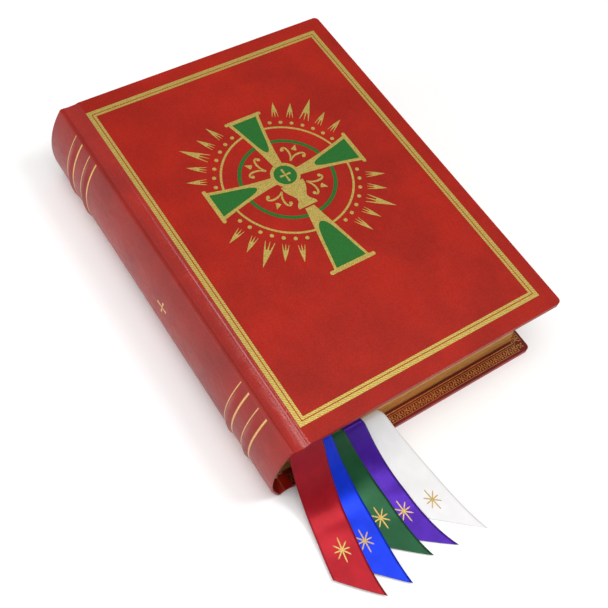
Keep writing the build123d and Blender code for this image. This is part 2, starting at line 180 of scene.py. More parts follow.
def new_piece(
    bm: BMesh,
    name: str,
    body: Body | None,
    material: Material,
    sharp: float = 35.0,
    closed: bool = True,
) -> Object:
    """Brings a mesh built in millimetres into the scene as one finished piece.

    Args:
        bm: The mesh, in millimetres, freed here.
        name: The piece's name.
        body: The body that it rides on, or None to leave it on no body.
        material: Its finish.
        sharp: Edges steeper than this many degrees stay sharp.
        closed: Whether its normals are recalculated outwards.

    Returns:
        The new object, at the origin with its place in its mesh.
    """
    bmesh.ops.remove_doubles(bm, verts=bm.verts[:], dist=0.0005)
    if closed:
        bmesh.ops.recalc_face_normals(bm, faces=bm.faces[:])
    bmesh.ops.scale(bm, vec=(MM, MM, MM), verts=bm.verts[:])
    mesh = bpy.data.meshes.new(name)
    bm.to_mesh(mesh)
    bm.free()
    mesh.shade_smooth()
    mesh.set_sharp_from_angle(angle=math.radians(sharp))
    mesh.materials.append(material)
    piece = bpy.data.objects.new(name, mesh)
    bpy.context.scene.collection.objects.link(piece)
    if body is not None:
        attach(piece, body.value)
    LOG.info("built %s: %d faces", name, len(mesh.polygons))
    return piece


def turn_over(bm: BMesh) -> None:
    """Turns a piece made for the front cover into the one for the back cover."""
    bmesh.ops.scale(bm, vec=(1, 1, -1), verts=bm.verts[:])
    bmesh.ops.translate(bm, vec=(0, 0, BOOK_T), verts=bm.verts[:])


def only(kind: type, geom: Sequence[object]) -> list:
    """Picks the elements of one kind out of an operator's result."""
    return [g for g in geom if isinstance(g, kind)]


def add_box(bm: BMesh, low: Sequence[float], high: Sequence[float]) -> list[BMVert]:
    """Adds a box between two corners and returns its vertices."""
    size, centre = Vector(high) - Vector(low), (Vector(high) + Vector(low)) / 2
    matrix = Matrix.Translation(centre) @ Matrix.Diagonal((*size, 1))
    return bmesh.ops.create_cube(bm, size=1.0, matrix=matrix)["verts"]


def soften(
    bm: BMesh, geom: Sequence[object], radius: float, segments: int, affect: str = "EDGES"
) -> list[BMVert]:
    """Rounds edges or corners.

    Args:
        bm: The mesh.
        geom: The edges, or the corners' vertices.
        radius: Their radius.
        segments: Steps of each rounding.
        affect: EDGES or VERTICES.

    Returns:
        The new vertices.
    """
    return bmesh.ops.bevel(
        bm,
        geom=list(geom),
        offset=radius,
        offset_type="OFFSET",
        segments=segments,
        profile=0.5,
        affect=affect,
        clamp_overlap=True,
        material=-1,
    )["verts"]


def sweep(
    bm: BMesh, edges: Sequence[BMEdge], centre: Sequence[float], angle: float, steps: int
) -> list[BMEdge]:
    """Sweeps edges round an axis that runs along the book.

    Args:
        bm: The mesh.
        edges: The edges.
        centre: A point on the axis.
        angle: Radians to sweep.
        steps: Steps of the sweep.

    Returns:
        The edges at the sweep's end.
    """
    swept = bmesh.ops.spin(
        bm, geom=edges, cent=centre, axis=(0, 1, 0), angle=angle, steps=steps, use_merge=False
    )
    return only(BMEdge, swept["geom_last"])


def sweep_evenly(
    bm: BMesh, edges: Sequence[BMEdge], centre: Sequence[float], half: float, steps: int
) -> list[BMEdge]:
    """Sweeps edges as far below where they stand as above it.

    Args:
        bm: The mesh.
        edges: The edges.
        centre: A point on the axis.
        half: Radians to either side.
        steps: Steps of the sweep.

    Returns:
        The edges at the sweep's end.
    """
    verts = list({v for e in edges for v in e.verts})
    bmesh.ops.rotate(bm, verts=verts, cent=centre, matrix=Matrix.Rotation(-half, 3, "Y"))
    return sweep(bm, edges, centre, 2 * half, steps)


def curve_points(knots: Sequence[Points], steps: int) -> list[Vector]:
    """Samples a run of joined curves.

    Args:
        knots: Curves of four points each: start, two handles and end.
        steps: Points on each curve.

    Returns:
        The points along the whole run, without doubles.
    """
    run: list[Vector] = []
    for curve in knots:
        points = interpolate_bezier(*(Vector((*p, 0.0)[:3]) for p in curve), steps)
        run.extend(points if not run else points[1:])
    return run


def bar(x0: float, y0: float, x1: float, y1: float) -> Points:
    """Outlines a rectangle between two corners."""
    return (x0, y0), (x1, y0), (x1, y1), (x0, y1)


def mirrored(points: Points) -> Points:
    """Gives the other half of an outline, mirrored in the X axis and in turn back."""
    return [(p[0], -p[1]) for p in reversed(points)]


def turned_points(points: Points, angle: float) -> Points:
    """Turns points about the origin by an angle in degrees."""
    turn = Matrix.Rotation(math.radians(angle), 2)
    return [tuple(turn @ Vector(point)) for point in points]


def flared_cross(arms: Sequence[float], foot: float, flare: float, point: float) -> Points:
    """Outlines a plain cross whose arms widen to their ends.

    Args:
        arms: Lengths of the right, upper, left and lower arm.
        foot: Half an arm's width at the middle.
        flare: Half its width at the end.
        point: How far the end's middle stands out.

    Returns:
        The outline.
    """
    cross: list[Sequence[float]] = []
    for quarter, length in enumerate(arms):
        arm = ((foot, -foot), (length, -flare), (length + point, 0.0), (length, flare))
        cross += turned_points(arm, 90 * quarter)
    return cross


# ---------------------------------------------------------------- finishes


@dataclass(frozen=True)
class Finish:
    """A material with a name, a principled shader and a pattern.

    Attributes:
        name: The finish's name.
    """

    name: str

    def shader_values(self) -> dict[str | int, object]:
        """The shader's own values."""
        raise NotImplementedError

    def pattern(self, add: Callable[..., Node], where: NodeSocket, uv: NodeSocket) -> Links:
        """Draws the finish's pattern.

        Args:
            add: Adds a node to the material.
            where: Object coordinates.
            uv: The piece's own map.

        Returns:
            What the pattern gives to the shader, by input name.
        """
        raise NotImplementedError

    def make(self) -> Material:
        """Makes the material.

        Returns:
            The material.
        """
        material = bpy.data.materials.new(self.name)
        material.use_nodes = True
        tree = material.node_tree
        tree.nodes.clear()
        shader = add_node(tree, "BsdfPrincipled", self.shader_values())
        add_node(tree, "OutputMaterial", links={"Surface": shader})
        material.diffuse_color = shader.inputs["Base Color"].default_value
        place = add_node(tree, "TexCoord").outputs
        join(tree, self.pattern(partial(add_node, tree), place["Object"], place["UV"]), shader)
        return material


@dataclass(frozen=True)
class CalfLeather(Finish):
    """Chrome-tanned calf, dyed and glazed: soft mottled colour, fine pebbled grain, faint creases.

    Attributes:
        bright: Colour where the dye is thin.
        deep: Colour in the folds and pores.
        grain: Width of one pebble of the grain.
        roughness: Gloss of the glaze.
        glaze: Strength of the glaze's reflection.
    """

    bright: str = "#AE1C07"
    deep: str = "#9A1705"
    grain: float = 0.9
    roughness: float = 0.46
    glaze: float = 0.23

    def shader_values(self) -> dict[str | int, object]:
        """The shader's own values."""
        return {"Base Color": linear(self.bright), "IOR": 1.5, "Specular IOR Level": self.glaze}

    def pattern(self, add: Callable[..., Node], where: NodeSocket, uv: NodeSocket) -> Links:
        """Draws the mottle, the pebbles and the creases; see Finish."""
        # dye gathers in patches some 40 mm across, which gives a gentle mottle
        mottle = add(
            "TexNoise", {"Scale": per_mm(42), "Detail": 5.0, "Roughness": 0.6}, {"Vector": where}
        )
        pebble = add(
            "TexVoronoi", {"Scale": per_mm(self.grain)}, {"Vector": where}, feature="SMOOTH_F1"
        )
        # pulled creases, longer than they are wide
        stretched = add("Mapping", {"Scale": (1.0, 0.45, 1.0)}, {"Vector": where})
        crease = add(
            "TexNoise",
            {"Scale": per_mm(7), "Detail": 6.0, "Roughness": 0.55, "Distortion": 1.6},
            {"Vector": stretched},
        )
        shade = add("MapRange", {"From Min": 0.36, "From Max": 0.66}, {"Value": mottle})
        dyes = {6: linear(self.deep), 7: linear(self.bright)}
        dye = add("Mix", dyes, {0: shade}, data_type="RGBA")
        pores = add(
            "MapRange",
            {"From Min": 0.05, "From Max": 0.55, "To Min": 1.06, "To Max": 0.8},
            {"Value": pebble},
        )
        both = {6: dye.outputs[2], 7: pores}
        colour = add("Mix", {0: 1.0}, both, data_type="RGBA", blend_type="MULTIPLY")
        low, high = self.roughness - 0.06, self.roughness + 0.1
        gloss = add(
            "MapRange",
            {"From Min": 0.3, "From Max": 0.7, "To Min": low, "To Max": high},
            {"Value": crease},
        )
        folds = add("Bump", {"Strength": 0.22, "Distance": 0.5 * MM}, {"Height": crease})
        bumps = add(
            "Bump",
            {"Strength": 0.32, "Distance": 0.16 * MM},
            {"Height": pebble, "Normal": folds},
            invert=True,
        )
        return {"Base Color": colour.outputs[2], "Roughness": gloss, "Normal": bumps}


@dataclass(frozen=True)
class StampedFoil(Finish):
    """Foil pressed hot into leather: metal colour broken by the grain beneath into a fine stipple.

    Attributes:
        bright: Colour of the smooth foil.
        deep: Colour in the stipple.
        metal: How metallic it is.
        roughness: Its gloss.
        stipple: Width of one dot of the stipple.
        hatch: Spacing of a slanted hatch, or 0 for none.
    """

    bright: str = "#FAE284"
    deep: str = "#C6A440"
    metal: float = 0.85
    roughness: float = 0.42
    stipple: float = 0.55
    hatch: float = 0.0

    def shader_values(self) -> dict[str | int, object]:
        """The shader's own values."""
        colour = linear(self.bright)
        return {"Base Color": colour, "Metallic": self.metal, "Roughness": self.roughness}

    def pattern(self, add: Callable[..., Node], where: NodeSocket, uv: NodeSocket) -> Links:
        """Draws the stipple and the hatch; see Finish."""
        height = add(
            "TexNoise",
            {"Scale": per_mm(self.stipple), "Detail": 3.0, "Roughness": 0.7},
            {"Vector": where},
        )
        if self.hatch:
            # the rule's slanted hatch, drawn a little coarser than the tool cuts it
            slant = add(
                "TexWave",
                {"Scale": 2 * bands_per_mm(self.hatch), "Distortion": 0.3, "Detail": 1.0},
                {"Vector": where},
                bands_direction="DIAGONAL",
            )
            height = add("Mix", {0: 0.2}, {2: height, 3: slant.outputs["Fac"]}, data_type="FLOAT")
        spread = add("MapRange", {"From Min": 0.38, "From Max": 0.6}, {"Value": height})
        foils = {6: linear(self.deep), 7: linear(self.bright)}
        colour = add("Mix", foils, {0: spread}, data_type="RGBA")
        bumps = add("Bump", {"Strength": 0.45, "Distance": 0.12 * MM}, {"Height": height})
        return {"Base Color": colour.outputs[2], "Normal": bumps}


@dataclass(frozen=True)
class GiltPaper(Finish):
    """Rag paper whose cut edges are burnished with gold leaf: cream faces, page lines in the gold.

    Attributes:
        paper: Colour of the page.
        fibre: Colour of the fibres in it.
        gold: Colour of the burnished edge.
        shade: Colour between the pages.
        page: Spacing of the drawn page lines.
    """

    paper: str = "#EFE8D6"
    fibre: str = "#E2D9C2"
    gold: str = "#EDB85C"
    shade: str = "#A8702E"
    page: float = 0.6

    def shader_values(self) -> dict[str | int, object]:
        """The shader's own values."""
        return {"Base Color": linear(self.paper), "IOR": 1.47}

    def pattern(self, add: Callable[..., Node], where: NodeSocket, uv: NodeSocket) -> Links:
        """Draws the pages' lines in gold on the edges, and fibres on the pages; see Finish."""
        # pages are 0.1 mm, too fine to show, so each line stands for about five
        flat = add("Mapping", {"Scale": (0.003, 0.003, 1.0)}, {"Vector": where})
        lines = add(
            "TexNoise",
            {"Scale": per_mm(self.page), "Detail": 4.0, "Roughness": 0.75},
            {"Vector": flat},
        )
        fibres = add("TexNoise", {"Scale": per_mm(1.4), "Detail": 5.0}, {"Vector": where})
        # a thin leaf's own faces, so that its cut edge is told from its page
        facing = add(
            "VectorTransform",
            links={0: add("NewGeometry").outputs["True Normal"]},
            vector_type="NORMAL",
            convert_from="WORLD",
            convert_to="OBJECT",
        )
        normal = add("SeparateXYZ", links={0: facing})
        upright = add("Math", links={0: normal.outputs["Z"]}, operation="ABSOLUTE")
        edge = add("Math", {1: 0.7}, {0: upright}, operation="LESS_THAN")
        spread = add("MapRange", {"From Min": 0.38, "From Max": 0.6}, {"Value": lines})
        golds = {6: linear(self.shade), 7: linear(self.gold)}
        gilding = add("Mix", golds, {0: spread}, data_type="RGBA")
        creams = {6: linear(self.paper), 7: linear(self.fibre)}
        sheet = add("Mix", creams, {0: fibres}, data_type="RGBA")
        faces = {0: edge, 6: sheet.outputs[2], 7: gilding.outputs[2]}
        colour = add("Mix", links=faces, data_type="RGBA")
        metal = add("Math", {1: 0.65}, {0: edge}, operation="MULTIPLY")
        gloss = add("MapRange", {"To Min": 0.8, "To Max": 0.34}, {"Value": edge})
        bumps = add("Bump", {"Strength": 0.5, "Distance": 0.1 * MM}, {"Height": lines})
        return {
            "Base Color": colour.outputs[2],
            "Metallic": metal,
            "Roughness": gloss,
            "Normal": bumps,
        }


@dataclass(frozen=True)
class WovenSatin(Finish):
    """Double-faced polyester satin: a deep dye, a coloured gloss and fine slanted float threads.

    Attributes:
        dye: Colour of the cloth.
        deep: Colour between the threads.
        metal: Share of the gloss that takes the dye's colour.
        roughness: Its gloss.
        thread: Drawn spacing of the floats; the real ones, at 0.15 mm, are too fine to show.
    """

    dye: str
    deep: str
    metal: float = 0.45
    roughness: float = 0.34
    thread: float = 0.6

    def shader_values(self) -> dict[str | int, object]:
        """The shader's own values."""
        return {
            "Base Color": linear(self.dye),
            "Metallic": self.metal,
            "IOR": 1.55,
            "Specular IOR Level": 0.2,
            "Sheen Weight": 0.06,
            "Sheen Roughness": 0.4,
            "Sheen Tint": linear(self.dye),
            "Anisotropic": 0.5,
        }

    def pattern(self, add: Callable[..., Node], where: NodeSocket, uv: NodeSocket) -> Links:
        """Draws the floats, the slubs and the selvedges; see Finish."""
        # the ribbon's own coordinates, in metres: across it and along it
        along = add("Mapping", {"Scale": (0.0254, 0.4, 1.0)}, {"Vector": uv})
        floats = add(
            "TexWave",
            {"Scale": 2 * bands_per_mm(self.thread), "Distortion": 0.6, "Detail": 2.0},
            {"Vector": along},
            bands_direction="DIAGONAL",
        ).outputs["Fac"]
        slub = add("TexNoise", {"Scale": per_mm(9), "Detail": 3.0}, {"Vector": where})
        parts = add("SeparateXYZ", links={0: uv})
        middle = add("Math", {1: 0.5}, {0: parts}, operation="SUBTRACT")
        off = add("Math", links={0: middle}, operation="ABSOLUTE")
        # the selvedge: a tight woven border about 0.8 mm wide down each side
        selvedge = add("MapRange", {"From Min": 0.462, "From Max": 0.472}, {"Value": off})
        mixed = add("Mix", {0: 0.75}, {2: floats, 3: slub}, data_type="FLOAT")
        spread = add(
            "MapRange", {"From Min": 0.2, "From Max": 0.7, "To Min": 0.45}, {"Value": mixed}
        )
        border = add("Math", {1: 0.3}, {0: selvedge}, operation="MULTIPLY")
        level = add("Math", links={0: spread, 1: border}, operation="SUBTRACT")
        dyes = {6: linear(self.deep), 7: linear(self.dye)}
        colour = add("Mix", dyes, {0: level}, data_type="RGBA")
        glosses = {"To Min": self.roughness, "To Max": self.roughness + 0.2}
        gloss = add("MapRange", glosses, {"Value": selvedge})
        bumps = add("Bump", {"Strength": 0.18, "Distance": 0.06 * MM}, {"Height": floats})
        return {"Base Color": colour.outputs[2], "Roughness": gloss, "Normal": bumps}


@dataclass(frozen=True)
class WovenCloth(Finish):
    """Open plain-weave linen, sized with paste: matt, with a crossed thread pattern.

    Attributes:
        thread_colour: Colour of the thread.
        gap_colour: Colour between threads.
        thread: Spacing of the threads.
    """

    thread_colour: str = "#DDD6C6"
    gap_colour: str = "#A79E8B"
    thread: float = 0.8

    def shader_values(self) -> dict[str | int, object]:
        """The shader's own values."""
        colour = linear(self.thread_colour)
        return {"Base Color": colour, "Roughness": 0.9, "IOR": 1.5, "Sheen Weight": 0.2}

    def pattern(self, add: Callable[..., Node], where: NodeSocket, uv: NodeSocket) -> Links:
        """Draws the weave; see Finish."""
        scale = {"Scale": bands_per_mm(self.thread), "Distortion": 0.3}
        waves = [
            add("TexWave", scale, {"Vector": where}, bands_direction=way).outputs["Fac"]
            for way in "XY"
        ]
        weave = add("Math", links=dict(enumerate(waves)), operation="MAXIMUM")
        threads = {6: linear(self.gap_colour), 7: linear(self.thread_colour)}
        colour = add("Mix", threads, {0: weave}, data_type="RGBA")
        bumps = add("Bump", {"Strength": 0.6, "Distance": 0.15 * MM}, {"Height": weave})
        return {"Base Color": colour.outputs[2], "Normal": bumps}


@dataclass(frozen=True)
class PressedBoard(Finish):
    """Pressed or dyed paper board: matt, with a soft fibrous fleck.

    Attributes:
        face: Main colour.
        fleck: Colour of the fibres.
        roughness: Its gloss.
        fibre: Size of one fleck.
    """

    face: str = "#9A8E78"
    fleck: str = "#7A6E5A"
    roughness: float = 0.85
    fibre: float = 1.2

    def shader_values(self) -> dict[str | int, object]:
        """The shader's own values."""
        return {"Base Color": linear(self.face), "Roughness": self.roughness, "IOR": 1.47}

    def pattern(self, add: Callable[..., Node], where: NodeSocket, uv: NodeSocket) -> Links:
        """Draws the flecks; see Finish."""
        fibres = add(
            "TexNoise",
            {"Scale": per_mm(self.fibre), "Detail": 8.0, "Roughness": 0.7},
            {"Vector": where},
        )
        papers = {6: linear(self.fleck), 7: linear(self.face)}
        colour = add("Mix", papers, {0: fibres}, data_type="RGBA")
        bumps = add("Bump", {"Strength": 0.3, "Distance": 0.1 * MM}, {"Height": fibres})
        return {"Base Color": colour.outputs[2], "Normal": bumps}


@dataclass(frozen=True)
class WoundSilk(Finish):
    """Silk thread wound round a core in two colours: bright bars about 2 mm wide.

    Attributes:
        first: One thread's colour.
        second: The other thread's colour.
        bars: Width of a pair of bars.
    """

    first: str = "#D8B24A"
    second: str = "#8E1A16"
    bars: float = 4.2

    def shader_values(self) -> dict[str | int, object]:
        """The shader's own values."""
        colour = linear(self.first)
        return {"Base Color": colour, "Roughness": 0.45, "IOR": 1.55, "Sheen Weight": 0.3}

    def pattern(self, add: Callable[..., Node], where: NodeSocket, uv: NodeSocket) -> Links:
        """Draws the bars; see Finish."""
        wave = add(
            "TexWave", {"Scale": bands_per_mm(self.bars)}, {"Vector": where}, bands_direction="Z"
        )
        ends = {"From Min": 0.47, "From Max": 0.53}
        pick = add("MapRange", ends, {"Value": wave.outputs["Fac"]})
        threads = {6: linear(self.first), 7: linear(self.second)}
        return {"Base Color": add("Mix", threads, {0: pick}, data_type="RGBA").outputs[2]}


class Finishes:
    """Every finish on the book, made once and shared."""

    def __init__(self) -> None:
        """Makes the materials."""
        self.leather = CalfLeather("red_calf_leather").make()
        self.spine_leather = CalfLeather(
            "red_calf_on_spine", "#9E190B", "#881408", roughness=0.38, glaze=0.38
        ).make()
        self.joint_leather = CalfLeather(
            "red_calf_in_joint", "#AE1C0A", "#981608", roughness=0.22, glaze=0.7
        ).make()
        # the turn-ins' darker red is painted shade: the shade in the gap between the closed covers
        self.turn_in = CalfLeather("red_calf_turn_in_painted_shade", "#86160F", "#64100B").make()
        self.gold = StampedFoil("gold_foil_stamped", roughness=0.34).make()
        # the turn-ins' gold is darker than the other foil: painted shade, as in the gap between
        # the closed covers
        self.dentelle_gold_in_painted_shade = StampedFoil(
            "gold_foil_on_turn_in_painted_shade", "#DCA458", "#8E5626", roughness=0.3
        ).make()
        self.ruled_gold = StampedFoil("gold_foil_ruled", roughness=0.32, hatch=2.0).make()
        self.worn_gold = StampedFoil(
            "gold_foil_on_spine", "#E8C47C", "#C08A54", roughness=0.32
        ).make()
        self.star_gold = StampedFoil("gold_foil_on_satin", "#BEA462", "#8C7036").make()
        self.green = StampedFoil("green_foil_stamped", "#1E7022", "#175A1B", metal=0.25).make()
        self.gilt = GiltPaper("rag_paper_gilt_edged").make()
        self.lining = PressedBoard("maroon_doublure_paper", "#4E1214", "#3C0D10", 0.6).make()
        self.card = PressedBoard("grey_mill_board").make()
        self.cloth = WovenCloth("linen_mull").make()
        self.silk = WoundSilk("silk_headband_thread").make()


# ---------------------------------------------------------------- drawing in foil


@dataclass
class FoilDrawing:
    """Flat shapes cut from foil, drawn on a plane and given a slight thickness.

    Attributes:
        low: Height of the shapes' underside.
        rise: Thickness of the lowest layer.
        bm: The mesh that holds the shapes.
    """

    low: float = -BEDDING
    rise: float = 0.06
    bm: BMesh = field(default_factory=bmesh.new)

    def lift(self, faces: Sequence[BMFace], layer: int = 0) -> None:
        """Gives flat faces their thickness.

        Args:
            faces: The faces, at the drawing's underside.
            layer: How many steps of 0.02 mm they stand above the lowest layer.
        """
        grown = bmesh.ops.extrude_face_region(self.bm, geom=list(faces))
        tops = only(BMVert, grown["geom"])
        bmesh.ops.translate(self.bm, vec=(0, 0, self.rise + 0.02 * layer), verts=tops)

    def outline(
        self, points: Points, layer: int = 0, soft: float = 0.0, at: Sequence[float] = (0.0, 0.0)
    ) -> None:
        """Cuts a shape from its outline.

        Args:
            points: Corners in order.
            layer: Its layer.
            soft: Radius of its corners.
            at: The place that the corners are measured from.
        """
        verts = [self.bm.verts.new((at[0] + p[0], at[1] + p[1], self.low)) for p in points]
        face = self.bm.faces.new(verts)
        if soft:
            cut = soften(self.bm, verts, soft, 4, "VERTICES")
            face = next(f for v in cut for f in v.link_faces)
        self.lift([face], layer)

    def circle(self, x: float, y: float, radius: float, sides: int) -> list[BMFace]:
        """Adds a flat round face about (x, y) and returns it."""
        place = Matrix.Translation((x, y, self.low))
        made = bmesh.ops.create_circle(
            self.bm, cap_ends=True, segments=sides, radius=radius, matrix=place
        )
        return list({f for v in made["verts"] for f in v.link_faces})

    def disc(self, x: float, y: float, radius: float, layer: int = 0, sides: int = 16) -> None:
        """Cuts a disc of the given radius about (x, y)."""
        self.lift(self.circle(x, y, radius, sides), layer)

    def border(self, whole: list[BMFace], width: float) -> None:
        """Cuts only the border, of the given width, of a flat face."""
        rim = bmesh.ops.inset_region(
            self.bm, faces=whole, thickness=width, use_boundary=True, use_even_offset=True
        )
        bmesh.ops.delete(self.bm, geom=whole, context="FACES")
        self.lift(rim["faces"])

    def ring(self, x: float, y: float, radius: float, width: float) -> None:
        """Cuts a ring about (x, y) whose middle line has the given radius."""
        self.border(self.circle(x, y, radius + width / 2, 128), width)

    def frame(self, x: float, width: float, height: float, line: float) -> None:
        """Cuts a mitred rectangular line.

        Args:
            x: Centre.
            width: Outer width.
            height: Outer height.
            line: Width of the line.
        """
        place = Matrix.Translation((x, 0, self.low)) @ Matrix.Diagonal((width, height, 1, 1))
        made = bmesh.ops.create_grid(
            self.bm, x_segments=1, y_segments=1, size=0.5, matrix=place
        )
        self.border(list({f for v in made["verts"] for f in v.link_faces}), line)

    def stroke(self, path: Sequence[Vector], widths: Sequence[float], layer: int = 0) -> None:
        """Draws a line that swells and thins, by extruding its cross edge along a path.

        Args:
            path: Points along its middle.
            widths: Its width at each point.
            layer: Its layer.
        """
        edge: BMEdge | None = None
        faces: list[BMFace] = []
        for i, (point, width) in enumerate(zip(path, widths)):
            ahead = path[min(i + 1, len(path) - 1)] - path[max(i - 1, 0)]
            side = Vector((-ahead.y, ahead.x, 0)).normalized() * (width / 2)
            ends = [point + side, point - side]
            if edge is None:
                edge = self.bm.edges.new([self.bm.verts.new((p.x, p.y, self.low)) for p in ends])
                continue
            grown = bmesh.ops.extrude_edge_only(self.bm, edges=[edge])["geom"]
            start, previous = path[i - 1].to_2d(), path[i] - path[i - 1]
            across = Vector((-previous.y, previous.x))
            fresh = only(BMVert, grown)
            for vert in fresh:
                target = ends[0] if (vert.co.to_2d() - start).dot(across) > 0 else ends[1]
                vert.co = (target.x, target.y, self.low)
            edge = next(e for e in only(BMEdge, grown) if all(v in fresh for v in e.verts))
            faces.extend(only(BMFace, grown))
        self.lift(faces, layer)

    def turned(self, draw: Callable[[], None], angle: float, about: Sequence[float]) -> None:
        """Draws a shape and then turns it about a point.

        Args:
            draw: Draws the shape as if unturned.
            angle: Degrees, anticlockwise.
            about: The point, in the plane.
        """
        before = set(self.bm.verts)
        draw()
        fresh = [v for v in self.bm.verts if v not in before]
        turn = Matrix.Rotation(math.radians(angle), 3, "Z")
        bmesh.ops.rotate(self.bm, verts=fresh, cent=(*about, 0), matrix=turn)


# ---------------------------------------------------------------- covers


@dataclass
class BoardCover:
    """One leather-covered board with mitred turn-ins.

    Attributes:
        side: Front or back.
        finishes: The book's finishes.
        thickness: Leather, board and turn-in together.
        turn_in: Thickness of the turned-in leather.
        corner: Radius of the fore-edge corners.
        edge_round: Radius of the leather over the board's edges.
        band_inset: How far the ornamental band lies from the edge.
        band: Its width.
        pitch: Spacing of its motifs.
        inner: How far the inner line lies from the edge.
    """

    side: Side
    finishes: Finishes
    thickness: float = 4.5
    turn_in: float = 0.8
    corner: float = 3.5
    edge_round: float = 1.1
    band_inset: float = 2.0
    band: float = 6.0
    pitch: float = 6.25
    inner: float = 9.0

    def build(self) -> None:
        """Builds the leather over its board, and its gilt turn-ins."""
        self.leather()
        self.dentelle()

    def leather(self) -> None:
        """Builds the covering leather."""
        bm = bmesh.new()
        face = BOOK_T - self.thickness + self.turn_in
        add_box(bm, (X_BOARD, -Y_END, face), (X_FORE, Y_END, BOOK_T))
        corners = [
            e
            for e in bm.edges
            if all(v.co.x > X_FORE - 0.1 for v in e.verts)
            and abs(e.verts[0].co.z - e.verts[1].co.z) > 1
        ]
        soften(bm, corners, self.corner, 8)
        shoulder = [
            e
            for e in bm.edges
            if all(v.co.x < X_BOARD + 0.1 and v.co.z > BOOK_T - 0.1 for v in e.verts)
        ]
        soften(bm, shoulder, SHOULDER, 8)
        bm.normal_update()
        rim = [
            e
            for e in self.sharp_edges(bm)
            if min(v.co.z for v in e.verts) > face + 0.2
            and not all(v.co.x < X_BOARD + 0.05 for v in e.verts)
        ]
        soften(bm, rim, self.edge_round, 5)
        self.fold_in(bm, face)
        if self.side is Side.BACK:
            turn_over(bm)
        name = f"{self.side.value}_cover_calf"
        piece = new_piece(bm, name, self.side.body, self.finishes.leather)
        # the turned-in leather gets a darker colour, painted shade for the gap between the closed
        # covers, and the shoulder is polished by the bone folder
        piece.data.materials.append(self.finishes.turn_in)
        piece.data.materials.append(self.finishes.joint_leather)
        inward = -1 if self.side is Side.FRONT else 1
        for polygon in piece.data.polygons:
            if polygon.normal.z * inward > 0.9:
                polygon.material_index = 1
            elif polygon.normal.x < -0.05 and polygon.center.x < (X_BOARD + SHOULDER) * MM:
                polygon.material_index = 2
        # broad flat faces stay flat beside their small rounded edges
        piece.modifiers.new("flat_faces", "WEIGHTED_NORMAL").keep_sharp = True
        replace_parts(piece, f"{self.side.value}_cover_leather", f"{self.side.value}_board")

    def sharp_edges(self, bm: BMesh) -> list[BMEdge]:
        """Finds the edges where an upright face meets another."""
        return [
            e
            for e in bm.edges
            if len(e.link_faces) == 2
            and sum(abs(f.normal.z) < 0.05 for f in e.link_faces) == 1
        ]

    def fold_in(self, bm: BMesh, face: float) -> None:
        """Raises the turned-in leather on the inner face, and mitres it at the corners.

        Args:
            bm: The mesh.
            face: Height of the board's inner face.
        """
        inside, half = X_FORE - TURN_IN_W, Y_END - TURN_IN_W
        for point, normal in (
            ((inside, 0, 0), (1, 0, 0)),
            ((0, half, 0), (0, 1, 0)),
            ((0, -half, 0), (0, 1, 0)),
        ):
            geom = bm.verts[:] + bm.edges[:] + bm.faces[:]
            bmesh.ops.bisect_plane(bm, geom=geom, plane_co=point, plane_no=normal)
        bm.normal_update()
        folded = []
        for flat in bm.faces:
            middle = flat.calc_center_median()
            if flat.normal.z < -0.9 and abs(middle.z - face) < 0.05:
                if middle.x > inside or abs(middle.y) > half:
                    folded.append(flat)
        tops = only(BMVert, bmesh.ops.extrude_face_region(bm, geom=folded)["geom"])
        bmesh.ops.delete(bm, geom=folded, context="FACES")
        bmesh.ops.translate(bm, vec=(0, 0, -self.turn_in), verts=tops)
        bm.normal_update()
        top = face - self.turn_in + 0.02
        lip = [e for e in self.sharp_edges(bm) if all(v.co.z < top for v in e.verts)]
        soften(bm, lip, 0.3, 2)

    def dentelle(self) -> None:
        """Stamps the ornamental gold band and the thin inner line round the turn-ins."""
        drawing = FoilDrawing()
        reach_x, reach_y = X_FORE - self.band_inset, Y_END - self.band_inset
        across = BOARD_W - self.band_inset - 1.0 - self.band
        # head and tail runs, and the fore-edge run between them
        for start, angle, length in (
            ((-X_FORE + 1.0, -reach_y), 0.0, across),
            ((reach_x, -reach_y + self.band), 90.0, 2 * (reach_y - self.band)),
            ((reach_x - self.band, reach_y), 180.0, across),
        ):
            drawing.turned(lambda: self.band_run(drawing, *start, length), angle, start)
        leaf = ((0.5, 0.0), (1.5, 0.7), (2.7, 0.0), (1.5, -0.7))
        for sign in (-1, 1):
            corner = (reach_x - self.band / 2, sign * (reach_y - self.band / 2))
            for i in range(4):
                drawing.turned(lambda: drawing.outline(leaf, at=corner), 45 + 90 * i, corner)
            drawing.disc(*corner, 0.45, sides=8)
        drawing.frame(0, BOARD_W - 2 * self.inner, BOARD_H - 2 * self.inner, 0.7)
        # the inner line is open at the spine
        gone = []
        for part in drawing.bm.faces:
            middle = part.calc_center_median()
            if middle.x < -X_FORE + self.inner + 0.9 and abs(middle.y) < 100:
                gone.append(part)
        bm = drawing.bm
        bmesh.ops.delete(bm, geom=gone, context="FACES")
        bmesh.ops.translate(bm, vec=(0, 0, self.thickness), verts=bm.verts[:])
        if self.side is Side.FRONT:
            turn_over(bm)
        name = f"{self.side.value}_dentelle_gold_in_painted_shade"
        # its foil is darkened gold, painted shade
        piece = new_piece(bm, name, self.side.body, self.finishes.dentelle_gold_in_painted_shade)
        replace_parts(piece, f"{self.side.value}_inner_foil")

